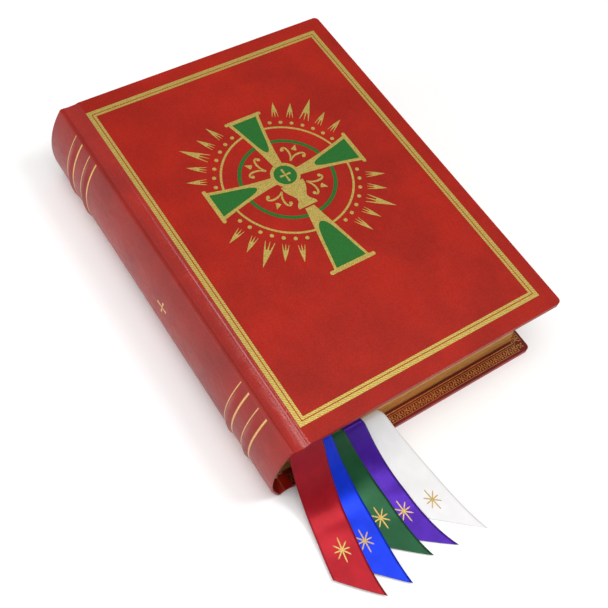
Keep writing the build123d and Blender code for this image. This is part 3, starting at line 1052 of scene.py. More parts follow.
    def band_run(self, drawing: FoilDrawing, x: float, y: float, length: float) -> None:
        """Draws one straight run of the ornamental band, its outer line at y.

        Args:
            drawing: The drawing.
            x: Where the run starts.
            y: Its outer line.
            length: Its length.
        """
        for low, high in ((0.0, 0.4), (self.band - 0.4, self.band)):
            drawing.outline(bar(0, low, length, high), at=(x, y))
        arch = curve_points([((-2.5, 0.7), (-2.5, 4.4), (2.5, 4.4), (2.5, 0.7))], 9)
        arch_widths = [0.55 + 0.25 * (j % 2) for j in range(9)]
        bud = ((-1.0, 1.7), (0, 0.7), (1.0, 1.7), (0, 2.9))
        leaf = ((0.15, 3.7), (1.35, 4.0), (1.7, 5.3), (0.5, 4.9))
        drop = ((-0.65, 3.9), (0, 2.2), (0.65, 3.9), (0, 5.3))
        count = round(length / self.pitch)
        step = length / count
        for i in range(count):
            at = (x + (i + 0.5) * step, y)
            drawing.stroke([Vector((*at, 0)) + p for p in arch], arch_widths)
            drawing.outline(bud, soft=0.3, at=at)
            drawing.outline([(-px, py) for px, py in reversed(leaf)], at=at)
            drawing.outline(leaf, at=at)
            drawing.outline(drop, at=(at[0] + step / 2, y))


# ---------------------------------------------------------------- spine and joints


@dataclass
class HollowSpine:
    """The rounded spine leather with raised bands, rolled over a ridge at each joint.

    Attributes:
        finishes: The book's finishes.
        radius: Radius of the rounded back.
        centre_x: Its axis.
        ridge: Radius of the leather over each shoulder.
        past_top: Degrees that the roll runs on past its top.
        bands: Where the raised bands lie.
        band_rise: Their height.
        band_half: Half their foot's width.
        fillets_at: Place beside each band, and width, of the thin and the thick fillet.
        cross_at: Place of the small cross, along the spine and across it.
    """

    finishes: Finishes
    radius: float = 67.69
    centre_x: float = -56.51
    ridge: float = 2.2
    past_top: float = 35.0
    bands: tuple[float, ...] = (119.2, 99.0, -99.0, -119.2)
    band_rise: float = 1.3
    band_half: float = 4.1
    fillets_at: Points = ((4.5, 0.7), (-4.5, 1.35))
    cross_at: tuple[float, float] = (-12.6, 8.7)

    @property
    def axis(self) -> Vector:
        """A point on the axis of the rounded back."""
        return Vector((self.centre_x, 0, BOOK_T / 2))

    @property
    def ridge_x(self) -> float:
        """X of the axis that the ridge rolls about."""
        up = BOOK_T / 2 - self.ridge
        return self.centre_x - math.sqrt((self.radius - self.ridge) ** 2 - up**2)

    @property
    def half_angle(self) -> float:
        """Degrees from the spine's middle to where the ridge takes over."""
        up = BOOK_T / 2 - self.ridge
        return math.degrees(math.atan2(up, self.centre_x - self.ridge_x))

    def build(self) -> None:
        """Builds the leather, its fillets and its small cross."""
        self.leather()
        self.fillets()
        self.small_cross()

    def rise(self, y: float, degrees: float) -> float:
        """How far the leather stands above the plain round back.

        Args:
            y: Place along the spine.
            degrees: Angle from the spine's middle.

        Returns:
            The height, in millimetres.
        """
        fade = 1 - smoothstep(abs(degrees), 17.0, 28.0)
        bump = 0.0
        for band in self.bands:
            off = abs(y - band) / self.band_half
            if off < 1:
                bump = max(bump, (0.5 + 0.5 * math.cos(math.pi * off)) ** 0.72)
        wave = noise.noise(Vector((y / 34, degrees / 16, 2.3))) * 0.16
        end = 1 - smoothstep(abs(y), 138.0, 148.0)
        return self.band_rise * bump * fade + wave * fade * end

    def swell(self, verts: Sequence[BMVert], floor: float) -> None:
        """Moves outer vertices out to the bands and the soft waves of the leather.

        Args:
            verts: The vertices.
            floor: Radius inside which nothing moves.
        """
        for vert in verts:
            off = Vector((vert.co.x - self.centre_x, 0, vert.co.z - BOOK_T / 2))
            angle = math.degrees(math.atan2(off.z, -off.x))
            if off.length > floor and abs(angle) < self.half_angle:
                vert.co += off.normalized() * self.rise(vert.co.y, angle)

    def leather(self) -> None:
        """Builds the leather: one closed section swept round the back and over both ridges."""
        bm = bmesh.new()
        turned = Y_END - TURN_IN_W
        half_section = ((0, Y_END), (2, Y_END), (2, turned), (1, turned))
        section = [(0, -Y_END), *half_section, *mirrored(half_section[1:])]
        x = self.centre_x - self.radius
        bm.faces.new([bm.verts.new((x + depth, y, BOOK_T / 2)) for depth, y in section])
        soften(bm, [v for v in bm.verts if abs(v.co.y) > Y_END - 0.1], 0.95, 5, "VERTICES")
        bmesh.ops.delete(bm, geom=bm.faces[:], context="FACES_ONLY")
        long = [e for e in bm.edges if e.calc_length() > 250 and e.verts[0].co.x < x + 0.5]
        bmesh.ops.subdivide_edges(bm, edges=long, cuts=420)
        first = bm.edges[:]
        last = sweep_evenly(bm, first, self.axis, math.radians(self.half_angle), 52)
        roll = math.radians(90 - self.half_angle + self.past_top)
        rims = [
            sweep(bm, edges, (self.ridge_x, 0, z), turn, 9)
            for edges, z, turn in ((first, self.ridge, -roll), (last, BOOK_T - self.ridge, roll))
        ]
        for rim in rims:
            bmesh.ops.edgeloop_fill(bm, edges=rim)
        self.swell(bm.verts[:], self.radius - 0.5)
        calf = self.finishes.spine_leather
        piece = new_piece(bm, "spine_calf", Body.BLOCK, calf, 50)
        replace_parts(piece, "spine_leather", "raised_bands")

    def fillets(self) -> None:
        """Stamps a thick and a thin gold line on either side of each band."""
        bm = bmesh.new()
        x, half = self.centre_x - self.radius, math.radians(self.half_angle + 0.3)
        for band in self.bands:
            for off, width in self.fillets_at:
                y = band + off
                ends = [bm.verts.new((x, y + s * width / 2, BOOK_T / 2)) for s in (-1, 1)]
                sweep_evenly(bm, [bm.edges.new(ends)], self.axis, half, 60)
        self.swell(bm.verts[:], 0.0)
        bmesh.ops.recalc_face_normals(bm, faces=bm.faces[:])
        self.thicken(bm, 0.05)
        gold = self.finishes.worn_gold
        piece = new_piece(bm, "spine_fillets_gold", Body.BLOCK, gold)
        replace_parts(piece, "spine_fillets")

    def thicken(self, bm: BMesh, rise: float) -> None:
        """Gives foil on the spine a body that starts just under the leather's surface.

        Args:
            bm: The mesh.
            rise: How far it stands above the leather.
        """
        grown = bmesh.ops.extrude_face_region(bm, geom=bm.faces[:])
        tops = set(only(BMVert, grown["geom"]))
        for vert in bm.verts:
            out = Vector((vert.co.x - self.axis.x, 0, vert.co.z - self.axis.z)).normalized()
            vert.co += out * (rise if vert in tops else -0.05)

    def small_cross(self) -> None:
        """Stamps a small plain cross with flared ends near the spine's middle."""
        drawing = FoilDrawing(low=0.0, rise=0.08)
        drawing.outline(flared_cross((6.0, 4.4, 5.0, 4.4), 0.35, 1.0, 0.3))
        for vert in drawing.bm.verts:
            along, across = vert.co.x + self.cross_at[0], vert.co.y + self.cross_at[1]
            turn = across / self.radius
            out = self.radius + vert.co.z - BEDDING + self.rise(along, math.degrees(turn))
            x, z = self.centre_x - out * math.cos(turn), BOOK_T / 2 + out * math.sin(turn)
            vert.co = (x, along, z)
        gold = self.finishes.worn_gold
        new_piece(drawing.bm, "spine_cross_gold", Body.BLOCK, gold)


@dataclass
class FlexibleJoint:
    """The groove of leather between spine and board, and the linen hinge inside it.

    Attributes:
        side: Front or back.
        finishes: The book's finishes.
        spine: The spine that the groove starts from.
        dip: Depth of the groove.
        groove_x: Its deepest line.
        fade: Share of its depth that is lost towards the head.
        fade_from: Y where the loss starts.
        fade_to: Y from where it is full.
        tilt: Degrees that the leather climbs at where it meets the cover's shoulder.
        run_off: How far the leather keeps the ridge's slope as it comes off it.
        outside: How far outside the book's face the hinge's axis lies; not used.
    """

    side: Side
    finishes: Finishes
    spine: HollowSpine
    dip: float = 2.05
    groove_x: float = -108.3
    fade: float = 0.7
    fade_from: float = 30.0
    fade_to: float = 145.0
    tilt: float = 40.0
    run_off: float = 1.6
    outside: float = 0.6

    def build(self) -> None:
        """Builds the groove and the inner hinge."""
        self.groove()
        self.inner_hinge()

    def groove(self) -> None:
        """Builds the leather of the groove."""
        roll, tilt = math.radians(self.spine.past_top), math.radians(self.tilt)
        ridge = self.spine.ridge
        start = (self.spine.ridge_x + ridge * math.sin(roll), ridge * (1 - math.cos(roll)))
        end = (X_BOARD + SHOULDER * (1 - math.sin(tilt)), SHOULDER * (1 - math.cos(tilt)))
        run = self.run_off
        away = (start[0] + run * math.cos(roll), start[1] + run * math.sin(roll))
        # both rims tuck a little under the leather that they meet
        start = (start[0] - 0.5, start[1] + 0.02)
        end = (end[0] + 0.35, end[1] + 0.1)
        lift = (end[0] - 0.9 * math.cos(tilt), end[1] + 0.9 * math.sin(tilt))
        before, deep, after = ((self.groove_x + x, self.dip) for x in (-1.7, 0, 2.2))
        points = curve_points([(start, away, before, deep), (deep, after, lift, end)], 9)
        section = [(p.x, BOOK_T - p.y) for p in points]
        calf = self.finishes.joint_leather
        piece = self.strip("joint_calf", section, Y_END - 0.1, 1.0, calf, self.fade)
        self.hang(piece)
        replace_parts(piece, f"{self.side.value}_joint_leather")

    def inner_hinge(self) -> None:
        """Builds the linen strip from the block's shoulder to the inside of the board."""
        steps = [t / 8 for t in range(9)]
        section = [(-111.5 + 6.75 * t, 62.98 + 2.7 * smoothstep(t, 0, 1)) for t in steps]
        linen = self.finishes.cloth
        piece = self.strip("linen_hinge", section, LEAF_Y, 0.4, linen, 0.0)
        self.hang(piece)
        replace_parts(piece, f"{self.side.value}_inner_joint")

    def strip(
        self,
        name: str,
        section: Points,
        half: float,
        thick: float,
        material: Material,
        fade: float,
    ) -> Object:
        """Extrudes a section along the book.

        Args:
            name: The piece's name after its side.
            section: The section's upper line, as (x, z).
            half: Half its length.
            thick: Its thickness, inwards.
            material: Its finish.
            fade: Share of its depth that is lost towards the head.

        Returns:
            The piece.
        """
        bm = bmesh.new()
        verts = [bm.verts.new((x, -half, z)) for x, z in section]
        edges = [bm.edges.new(pair) for pair in zip(verts, verts[1:])]
        grown = bmesh.ops.extrude_edge_only(bm, edges=edges)["geom"]
        bmesh.ops.translate(bm, vec=(0, 2 * half, 0), verts=only(BMVert, grown))
        sides = [e for e in bm.edges if abs(e.verts[0].co.y - e.verts[1].co.y) > half]
        bmesh.ops.subdivide_edges(bm, edges=sides, cuts=40, use_grid_fill=True)
        for vert in bm.verts:
            depth = max(0.0, BOOK_T - 0.4 - vert.co.z)
            vert.co.z += depth * fade * smoothstep(vert.co.y, self.fade_from, self.fade_to)
        bm.normal_update()
        if sum(f.normal.z for f in bm.faces) < 0:
            bmesh.ops.reverse_faces(bm, faces=bm.faces[:])
        bmesh.ops.solidify(bm, geom=bm.faces[:], thickness=thick)
        if self.side is Side.BACK:
            turn_over(bm)
        return new_piece(bm, f"{self.side.value}_{name}", None, material, 50)

    def hang(self, piece: Object) -> None:
        """Bakes a strip's placement into its mesh; it is left on no body.

        Args:
            piece: The strip.
        """
        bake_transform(piece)


# ---------------------------------------------------------------- text block


@dataclass
class GiltBlock:
    """The sewn gatherings, gilt on three edges, with headband and tailband.

    Attributes:
        finishes: The book's finishes.
        low: Its lowest page.
        high: Its highest page.
        spine_x: Its spine edge at top and bottom.
        hollow: Depth of the hollow fore-edge, and of the rounded spine.
        openings: Heights where a ribbon lies between pages.
        low_seams: Heights above the lowest page where gatherings meet.
        high_seams: Depths below the highest page where gatherings meet.
        row: Height of one step of the pages' edges.
        band: Radius of a head or tail band.
    """

    finishes: Finishes
    low: float = 5.35
    high: float = 62.55
    spine_x: float = -111.5
    hollow: float = 7.0
    openings: tuple[float, ...] = (22.0, 28.0, 34.0, 40.0, 46.0)
    low_seams: tuple[float, ...] = (5.6, 11.1)
    high_seams: tuple[float, ...] = (11.05, 5.75)
    row: float = 0.42
    band: float = 1.6

    @property
    def half(self) -> float:
        """Half the block's thickness."""
        return (self.high - self.low) / 2

    @property
    def middle(self) -> float:
        """Height of the block's middle."""
        return (self.high + self.low) / 2

    @property
    def radius(self) -> float:
        """Radius of the rounded spine and the hollow fore-edge."""
        return (self.half**2 + self.hollow**2) / (2 * self.hollow)

    def build(self) -> None:
        """Builds the gatherings and both bands."""
        self.gatherings()
        for name, end in (("headband", 1), ("tailband", -1)):
            self.wind(name, end)

    def arc(self, z: float) -> float:
        """How far the edge lies towards the spine at height z."""
        off = z - self.middle
        return math.sqrt(max(0.0, self.radius**2 - off**2)) - (self.radius - self.hollow)

    def gatherings(self) -> None:
        """Builds the pages as sections, their edges slightly uneven as handled pages are."""
        bm = bmesh.new()
        low = [self.low + seam for seam in self.low_seams]
        high = [self.high - seam for seam in self.high_seams]
        bounds = [self.low]
        for z in (*low, *self.openings, *high):
            gap = 0.2 if z in self.openings else 0.08
            bounds += [z - gap, z + gap]
        bounds.append(self.high)
        for z0, z1 in zip(bounds[::2], bounds[1::2]):
            verts = add_box(bm, (self.spine_x, -LEAF_Y, z0), (LEAF_X, LEAF_Y, z1))
            edges = {e for v in verts for e in v.link_edges}
            posts = [e for e in edges if abs(e.verts[0].co.z - e.verts[1].co.z) > 0.1]
            cuts = max(2, round((z1 - z0) / self.row))
            bmesh.ops.subdivide_edges(bm, edges=posts, cuts=cuts, use_grid_fill=True)
        for vert in bm.verts:
            co = vert.co
            uneven = noise.noise(Vector((co.z * 2.9, 7.1, 0.3))) * 0.16
            uneven += noise.noise(Vector((co.z * 0.35, 1.7, 4.4))) * 0.12
            co.y += (uneven - 0.1) * (1 if co.y > 0 else -1)
            if co.x > 0:
                co.x += uneven * 0.8 - 0.08
            co.x -= self.arc(co.z)
        piece = new_piece(bm, "gilt_gatherings", Body.BLOCK, self.finishes.gilt, 80)
        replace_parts(piece, "gatherings")

    def wind(self, name: str, end: int) -> None:
        """Winds one silk band over its core at the end of the block.

        Args:
            name: The CAD node that it stands for.
            end: 1 at the head, -1 at the tail.
        """
        bm = bmesh.new()
        centre = self.spine_x - self.hollow + self.radius
        reach, y = self.radius - self.band, end * (LEAF_Y + self.band)
        place = Matrix.Translation((centre - reach, y, self.middle))
        bmesh.ops.create_circle(bm, segments=12, radius=1.55, matrix=place)
        span = math.asin(self.half / self.radius) - math.radians(4)
        ring = bm.edges[:]
        last = sweep_evenly(bm, ring, (centre, 0, self.middle), span, 112)
        for rim in (ring, last):
            bmesh.ops.edgeloop_fill(bm, edges=rim)
        # the wound thread stands up in ridges between its turns
        for vert in bm.verts:
            turn = math.atan2(vert.co.z - self.middle, centre - vert.co.x)
            core_x, core_z = centre - reach * math.cos(turn), self.middle + reach * math.sin(turn)
            core = Vector((core_x, y, core_z))
            ridges = 0.93 + 0.07 * math.cos(turn * 2 * math.pi * self.radius / 2.1)
            vert.co = core + (vert.co - core) * ridges
        piece = new_piece(bm, f"{name}_silk", Body.BLOCK, self.finishes.silk, 60)
        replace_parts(piece, name)


# ---------------------------------------------------------------- gold on the front cover


@dataclass
class CoverGilding:
    """The ruled frame and the emblem stamped on the front cover.

    Attributes:
        finishes: The book's finishes.
        x: Centre of the emblem.
        y: Centre of the emblem.
        ring_y: Centre of its rings, dots and rays, a little below the cross's own.
        roundel_y: Centre of its roundel, a little above.
        gold_ring: Radius of the gold ring's middle line, and its width.
        green_ring: The same of the green ring.
        dots: Radius that the dots stand on, and a dot's own.
        frame_x: Centre of the ruled frame.
        rules: Width and height over each rule, and the width of its line.
    """

    finishes: Finishes
    x: float = -4.3
    y: float = 26.2
    ring_y: float = 24.2
    roundel_y: float = 27.4
    gold_ring: tuple[float, float] = (46.6, 1.6)
    green_ring: tuple[float, float] = (33.8, 2.7)
    dots: tuple[float, float] = (51.3, 1.45)
    frame_x: float = -3.6
    rules: Points = ((194.2, 276.6, 2.9), (187.2, 269.6, 1.9))

    @property
    def at(self) -> tuple[float, float]:
        """The emblem's centre."""
        return self.x, self.y

    def build(self) -> None:
        """Stamps the frame, the gold and the green."""
        self.ruled_frame()
        self.gold_emblem()
        self.green_emblem()

    def stamp(
        self, drawing: FoilDrawing, name: str, material: Material, node: str
    ) -> None:
        """Places a drawing on the front cover.

        Args:
            drawing: The drawing, with its underside just below 0.
            name: The piece's name.
            material: Its finish.
            node: The CAD node that it stands for.
        """
        bm = drawing.bm
        bmesh.ops.translate(bm, vec=(0, 0, BOOK_T), verts=bm.verts[:])
        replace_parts(new_piece(bm, name, Body.FRONT, material), node)

    def ruled_frame(self) -> None:
        """Stamps the broad hatched rule and the narrower rule inside it."""
        drawing = FoilDrawing(rise=0.07)
        for rule in self.rules:
            drawing.frame(self.frame_x, *rule)
        gold = self.finishes.ruled_gold
        self.stamp(drawing, "front_frame_gold", gold, "front_frame_foil")

    def arm(self, drawing: FoilDrawing) -> None:
        """Draws one short flared arm, pointing right."""
        upper = curve_points([((8, 3.2), (22, 4.4), (40, 7.8), (57.4, 12.7))], 10)
        drawing.outline([*upper, *mirrored(upper)], 2, at=self.at)
        drawing.outline(bar(56.9, -15, 59.7, 15), 3, soft=1.3, at=self.at)

    def long_arm(self, drawing: FoilDrawing) -> None:
        """Draws the long lower arm and the plain knop that it rises to."""
        taper = ((-3.6, -29.9), (-14.2, -81.4), (14.2, -81.4), (3.6, -29.9))
        drawing.outline(taper, 2, at=self.at)
        drawing.outline(bar(-18.4, -84, 18.4, -81), 3, soft=1.4, at=self.at)
        upper = ((9.2, -7.2), (9.0, -14.5), (4.6, -17.5), (4.0, -20.3))
        lower = ((4.0, -20.3), (4.0, -24.0), (7.4, -25.0), (7.6, -27.2))
        right = [(p.x, p.y) for p in curve_points([upper, lower], 7)] + [(7.6, -28.6)]
        left = [(-px, py) for px, py in reversed(right)]
        drawing.outline(right + left, 2, at=self.at)

    def ray(self, drawing: FoilDrawing, tip: float, waist: float, broad: float) -> None:
        """Draws one ray pointing right: a blade whose foot splits in three prongs.

        Args:
            drawing: The drawing.
            tip: Distance of its tip from the centre.
            waist: Distance where the prongs part.
            broad: Half its width there.
        """
        foot = 56.2
        half = (
            (foot, 0.12),
            (waist - 1.4, 0.55),
            (waist - 1.7, broad * 0.62),
            (foot + 0.3, broad * 1.24),
            (foot + 0.4, broad * 1.4),
            (waist, broad),
        )
        drawing.outline([*half, (tip, 0), *mirrored(half)], at=(self.x, self.ring_y))

    def scroll(self, drawing: FoilDrawing) -> None:
        """Draws the pair of curling sprays and the leaf between them, pointing right."""
        stem = ((14.4, 0.3), (18.2, 0.4), (20.8, 1.6), (23.0, 4.0))
        curl = ((23.0, 4.0), (25.6, 6.6), (24.6, 10.0), (21.8, 8.4))
        path = curve_points([stem, curl], 8)
        widths = [0.8 + 0.75 * math.sin(math.pi * i / (len(path) - 1)) for i in range(len(path))]
        for sign in (-1, 1):
            middle = [Vector((self.x + p.x, self.y + sign * p.y, 0)) for p in path]
            drawing.stroke(middle, widths, 1)
            drawing.disc(self.x + 22.0, self.y + sign * 8.1, 1.35, 2, 12)
        leaf = ((25.2, -2.1), (30.2, 0), (25.2, 2.1), (24.7, 0))
        drawing.outline(leaf, 1, at=self.at)

    def gold_emblem(self) -> None:
        """Stamps all that is gold in the emblem."""
        drawing = FoilDrawing(rise=0.07)
        drawing.ring(self.x, self.ring_y, *self.gold_ring)
        long_ray, short_ray = (78.2, 65.0, 2.5), (70.6, 63.0, 1.75)
        reach, dot = self.dots
        for quarter in range(4):
            middle = 45 + 90 * quarter
            for off in range(-3, 4):
                angle = math.radians(middle + 9 * off)
                x, y = reach * math.cos(angle), reach * math.sin(angle)
                drawing.disc(self.x + x, self.ring_y + y, dot)
            for off in range(-2, 3):
                shape = short_ray if off else long_ray
                turn = middle + 10.7 * off
                drawing.turned(lambda: self.ray(drawing, *shape), turn, (self.x, self.ring_y))
            drawing.turned(lambda: self.scroll(drawing), middle, self.at)
            if quarter != 3:
                drawing.turned(lambda: self.arm(drawing), 90 * quarter, self.at)
        self.long_arm(drawing)
        roundel = (self.x, self.roundel_y)
        drawing.disc(*roundel, 10.7, 4, 64)
        drawing.outline(flared_cross((4.0, 5.2, 4.0, 5.8), 0.5, 0.95, 0.4), 7, at=roundel)
        self.stamp(drawing, "emblem_gold_leaf", self.finishes.gold, "emblem_gold")

    def green_emblem(self) -> None:
        """Stamps the green ring, the panels in the arms and the roundel."""
        drawing = FoilDrawing()
        drawing.ring(self.x, self.ring_y, *self.green_ring)
        short = ((24.2, 0.0), (24.2, 3.4), (36.0, 4.6), (56.5, 9.9))
        long = ((43.6, 0.0), (43.8, 5.4), (58.0, 6.8), (80.6, 12.0))
        for quarter, edge in enumerate((short, short, short, long)):
            half = curve_points([edge], 12)
            panel = [*half, *mirrored(half[1:])][::-1]
            drawing.turned(lambda: drawing.outline(panel, 5, at=self.at), 90 * quarter, self.at)
        drawing.disc(self.x, self.roundel_y, 8.3, 6, 64)
        self.stamp(drawing, "emblem_green_leaf", self.finishes.green, "emblem_green")


# ---------------------------------------------------------------- ribbons


@dataclass
class MarkerRibbon:
    """A satin marker that lies between the pages, hangs over the tail and rests on the table.

    Attributes:
        colour: Its name.
        satin: Its dye, the shade between its threads, and its finish's other values.
        exit_z: Height where it leaves the block.
        rest_z: Height where it rests.
        run: Its right edge, as (x, y), from the block to its long point.
        mark: Centre of its stamped star.
        width: Its width.
        slant: How much shorter its left edge is cut.
        top_y: Where it ends between the pages.
        inside: Share of its mesh that lies between the pages.
    """

    colour: str
    satin: tuple
    exit_z: float
    rest_z: float
    run: tuple[tuple[float, float], ...]
    mark: tuple[float, float]
    width: float = 25.4
    slant: float = 26.0
    top_y: float = 133.0
    inside: float = 0.16

    def fall(self) -> list[Vector]:
        """Gives the ribbon's side view as it leaves the block and comes down to the table.

        Returns:
            Points of (y, z), from the block outwards.
        """
        high, low = self.exit_z, self.rest_z
        return curve_points(
            [
                ((-139.0, high), (-140.0, high), (-140.6, high), (-141.4, high)),
                ((-141.4, high), (-146.4, high), (-154.6, low), (-188.0, low)),
                ((-188.0, low), (-191.0, low), (-195.0, low), (-199.0, low)),
            ],
            36,
        )

    def edge_x(self, y: float) -> float:
        """X of the right edge: one smooth curve through the run's points.

        Args:
            y: The place along the book.

        Returns:
            X, in millimetres.
        """
        if y > self.run[0][1]:
            return self.run[0][0]
        total = 0.0
        for i, (xi, yi) in enumerate(self.run):
            part = xi
            for j, (_, yj) in enumerate(self.run):
                if i != j:
                    part *= (y - yj) / (yi - yj)
            total += part
        return total

    def height(self, x: float, y: float, fall: Sequence[Vector]) -> float:
        """Height of the ribbon at a place, with the ripple that all five share as they lie.

        Args:
            x: The place across the book.
            y: The place along it.
            fall: The side view.

        Returns:
            The height.
        """
        z = self.exit_z if y >= fall[0].x else self.rest_z
        for near, far in zip(fall, fall[1:]):
            if far.x <= y < near.x:
                share = (near.x - y) / max(1e-6, near.x - far.x)
                z = near.y + (far.y - near.y) * share
        reach = smoothstep(-y, 152.0, 168.0) * (1 - smoothstep(-y, 186.0, 204.0))
        ripple = 0.7 * reach * (1 + math.sin(x / 8.5 + y / 17.0))
        # the edges of a lying ribbon turn down a little
        across = (self.edge_x(y) - x) / self.width
        crown = 0.12 * (1 - (2 * across - 1) ** 2) * smoothstep(-y, 150, 170)
        return z + ripple + crown

    def build(self, finishes: Finishes) -> None:
        """Builds the ribbon and its star.

        Args:
            finishes: The book's finishes.
        """
        bm = bmesh.new()
        bm.loops.layers.uv.new("UVMap")
        bmesh.ops.create_grid(bm, x_segments=14, y_segments=130, size=0.5, calc_uvs=True)
        fall = self.fall()
        start, tip = self.run[0][1], self.run[-1][1]
        for vert in bm.verts:
            across, along = 0.5 - vert.co.x, 0.5 + vert.co.y
            end = tip + self.slant * across
            if along < self.inside:
                y = self.top_y + (start - self.top_y) * along / self.inside
            else:
                y = start + (end - start) * (along - self.inside) / (1 - self.inside)
            x = self.edge_x(y) - self.width * across
            vert.co = (x, y, self.height(x, y, fall))
        satin = WovenSatin(f"{self.colour}_woven_satin", *self.satin).make()
        name, slot = f"satin_ribbon_{self.colour}", f"{self.colour}_satin"
        piece = new_piece(bm, name, Body.BLOCK, satin, 60, closed=False)
        cloth = piece.modifiers.new("cloth_thickness", "SOLIDIFY")
        cloth.thickness, cloth.offset = 0.28 * MM, 0.0
        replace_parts(piece, f"ribbon_{self.colour}")
        length = sum((b - a).length for a, b in zip(fall, fall[1:]))
        length += self.top_y - fall[0].x + fall[-1].x - tip
        LOG.info("%s is %.1f mm long", name, length)
        self.star(fall, finishes.star_gold)

    def star(self, fall: Sequence[Vector], foil: Material) -> None:
        """Stamps a plain eight-pointed star near the ribbon's end.

        Args:
            fall: The ribbon's side view.
            foil: Its finish.
        """
        drawing = FoilDrawing(low=0.0)
        y = self.mark[1]
        lean = math.degrees(math.atan2(self.edge_x(y - 8) - self.edge_x(y + 8), -16)) - 180
        star: list[Sequence[float]] = []
        for i, length in enumerate((8.6, 6.6, 5.6, 6.6) * 2):
            arm = ((0.42, length - 1.2), (0, length), (-0.42, length - 1.2), (-0.46, 1.1))
            star += turned_points(arm, 45 * i - lean)
        drawing.outline(star, at=self.mark)
        for vert in drawing.bm.verts:
            vert.co.z += self.height(vert.co.x, vert.co.y, fall) + 0.1
        new_piece(drawing.bm, f"ribbon_star_{self.colour}", Body.BLOCK, foil)


RIBBONS = (
    MarkerRibbon(
        "red",
        ("#A81422", "#6E0810"),
        46.0,
        2.4,
        ((-84.5, -139.0), (-82.3, -165.0), (-85.6, -190.0), (-91.3, -239.8)),
        (-99.7, -201.3),
    ),
    MarkerRibbon(
        "blue",
        ("#0C38DC", "#061C8E"),
        40.0,
        1.9,
        ((-77.0, -139.0), (-70.4, -165.0), (-70.1, -190.0), (-72.7, -241.8)),
        (-83.6, -203.8),
    ),
    MarkerRibbon(
        "green",
        ("#1C5432", "#0E341E"),
        34.0,
        1.4,
        ((-66.5, -139.0), (-56.8, -165.0), (-54.5, -190.0), (-50.2, -234.5)),
        (-65.6, -196.9),
    ),
    MarkerRibbon(
        "purple",
        ("#4C1EA0", "#280E6C"),
        28.0,
        0.9,
        ((-48.5, -139.0), (-42.0, -165.0), (-40.3, -190.0), (-31.6, -237.5)),
        (-49.5, -200.9),
    ),
    MarkerRibbon(
        "white",
        ("#E9E9EA", "#D8D7D7", 0.0, 0.4),
        22.0,
        0.4,
        ((-31.5, -139.0), (-20.6, -165.0), (-16.0, -190.0), (-7.7, -238.6)),
        (-27.9, -204.2),
    ),
)


# ---------------------------------------------------------------- studio


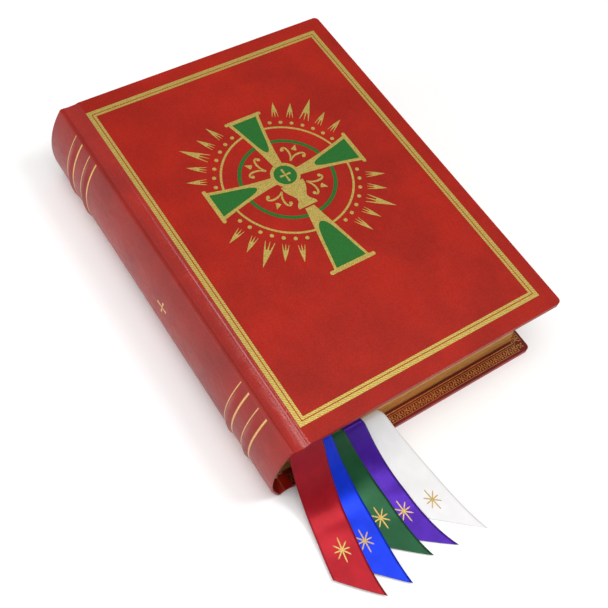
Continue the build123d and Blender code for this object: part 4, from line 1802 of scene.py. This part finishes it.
@dataclass
class Studio:
    """A pale floor, soft lights and the camera.

    Attributes:
        place: Where the camera stands, in metres.
        right: Its right-hand direction.
        up: Its upward direction.
        lens: Its focal length on a 36 mm sensor.
        lamps: Each light's name, place, target, size and power.
    """

    place: tuple[float, float, float] = (-0.29127, -0.29928, 0.59380)
    right: tuple[float, float, float] = (0.82632, -0.54639, 0.13659)
    up: tuple[float, float, float] = (0.40997, 0.74983, 0.51930)
    lens: float = 57.285
    lamps: tuple[tuple, ...] = (
        ("left_softbox", (-1.15, 0.25, 0.5), (-0.1, -0.02, 0.03), 0.7, 4.5),
        ("tail_softbox", (0.46, -0.4, 1.3), (-0.03, -0.15, 0.02), 0.4, 6),
        ("overhead_softbox", (-0.35, -0.25, 1.6), (0, 0, 0.03), 1.1, 14),
    )

    def build(self) -> None:
        """Sets up the floor, the lights and the camera."""
        self.floor()
        self.lights()
        self.camera()
        bpy.context.scene.view_settings.view_transform = "Standard"

    def camera(self) -> None:
        """Places the camera, level with nothing: it leans as a hand-held one does."""
        data = bpy.data.cameras.new("camera")
        data.lens, data.sensor_width = self.lens, 36.0
        data.clip_start, data.clip_end = 0.01, 50
        camera = bpy.data.objects.new("camera", data)
        right, up = Vector(self.right).normalized(), Vector(self.up).normalized()
        turn = Matrix((right, up, right.cross(up))).transposed().to_4x4()
        camera.matrix_world = Matrix.Translation(self.place) @ turn
        bpy.context.scene.collection.objects.link(camera)
        bpy.context.scene.camera = camera

    def floor(self) -> None:
        """Lays a plain pale floor under the book."""
        bm = bmesh.new()
        bmesh.ops.create_grid(bm, x_segments=1, y_segments=1, size=4.0)
        mesh = bpy.data.meshes.new("studio_floor")
        bm.to_mesh(mesh)
        bm.free()
        material = bpy.data.materials.new("matt_white_paper_roll")
        material.use_nodes = True
        shader = material.node_tree.nodes["Principled BSDF"]
        shader.inputs["Base Color"].default_value = linear("#FBFBFB")
        shader.inputs["Roughness"].default_value = 0.9
        mesh.materials.append(material)
        floor = bpy.data.objects.new("studio_floor", mesh)
        bpy.context.scene.collection.objects.link(floor)

    def lights(self) -> None:
        """Hangs three large soft lights in a bright room."""
        world = bpy.data.worlds.new("white_room")
        bpy.context.scene.world = world
        world.use_nodes = True
        back = world.node_tree.nodes["Background"]
        back.inputs["Color"].default_value = (1, 1, 1, 1)
        back.inputs["Strength"].default_value = 0.4
        for name, place, target, size, power in self.lamps:
            data = bpy.data.lights.new(name, "AREA")
            data.shape, data.size, data.energy = "SQUARE", size, power
            light = bpy.data.objects.new(name, data)
            turn = (Vector(target) - Vector(place)).to_track_quat("-Z", "Y").to_matrix().to_4x4()
            light.matrix_world = Matrix.Translation(place) @ turn
            bpy.context.scene.collection.objects.link(light)


# ---------------------------------------------------------------- the whole book


def dress_inner_parts(nodes: dict[str, Object], finishes: Finishes) -> None:
    """Gives each CAD piece that stays as it is its finish.

    Args:
        nodes: The frame's nodes by name.
        finishes: The book's finishes.
    """
    lined = [f"{side.value}_{part}" for side in Side for part in ("doublure", "flyleaf")]
    for material, names in (
        (finishes.cloth, ("sewing_tapes", "spine_mull")),
        (finishes.card, ("spine_lining",)),
        # the flyleaves' maroon matches the doublure and also paints the shade in the gap under the
        # block's lowest pages
        (finishes.lining, (*lined, "spine_card")),
        (finishes.gilt, ("title_leaf", "text_leaf")),
    ):
        for name in names:
            mesh = nodes[name].data
            mesh.materials.clear()
            mesh.materials.append(material)
            LOG.info("dressed %s in %s", name, material.name)


def main() -> None:
    """Builds the book piece by piece and reports each one."""
    logging.basicConfig(level=logging.INFO, format="%(message)s")
    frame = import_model()
    Studio().build()
    finishes = Finishes()
    dress_inner_parts(frame["nodes"], finishes)
    GiltBlock(finishes).build()
    spine = HollowSpine(finishes)
    spine.build()
    for side in Side:
        BoardCover(side, finishes).build()
        FlexibleJoint(side, finishes, spine).build()
    CoverGilding(finishes).build()
    for ribbon in RIBBONS:
        ribbon.build(finishes)


if __name__ == "__main__":
    main()
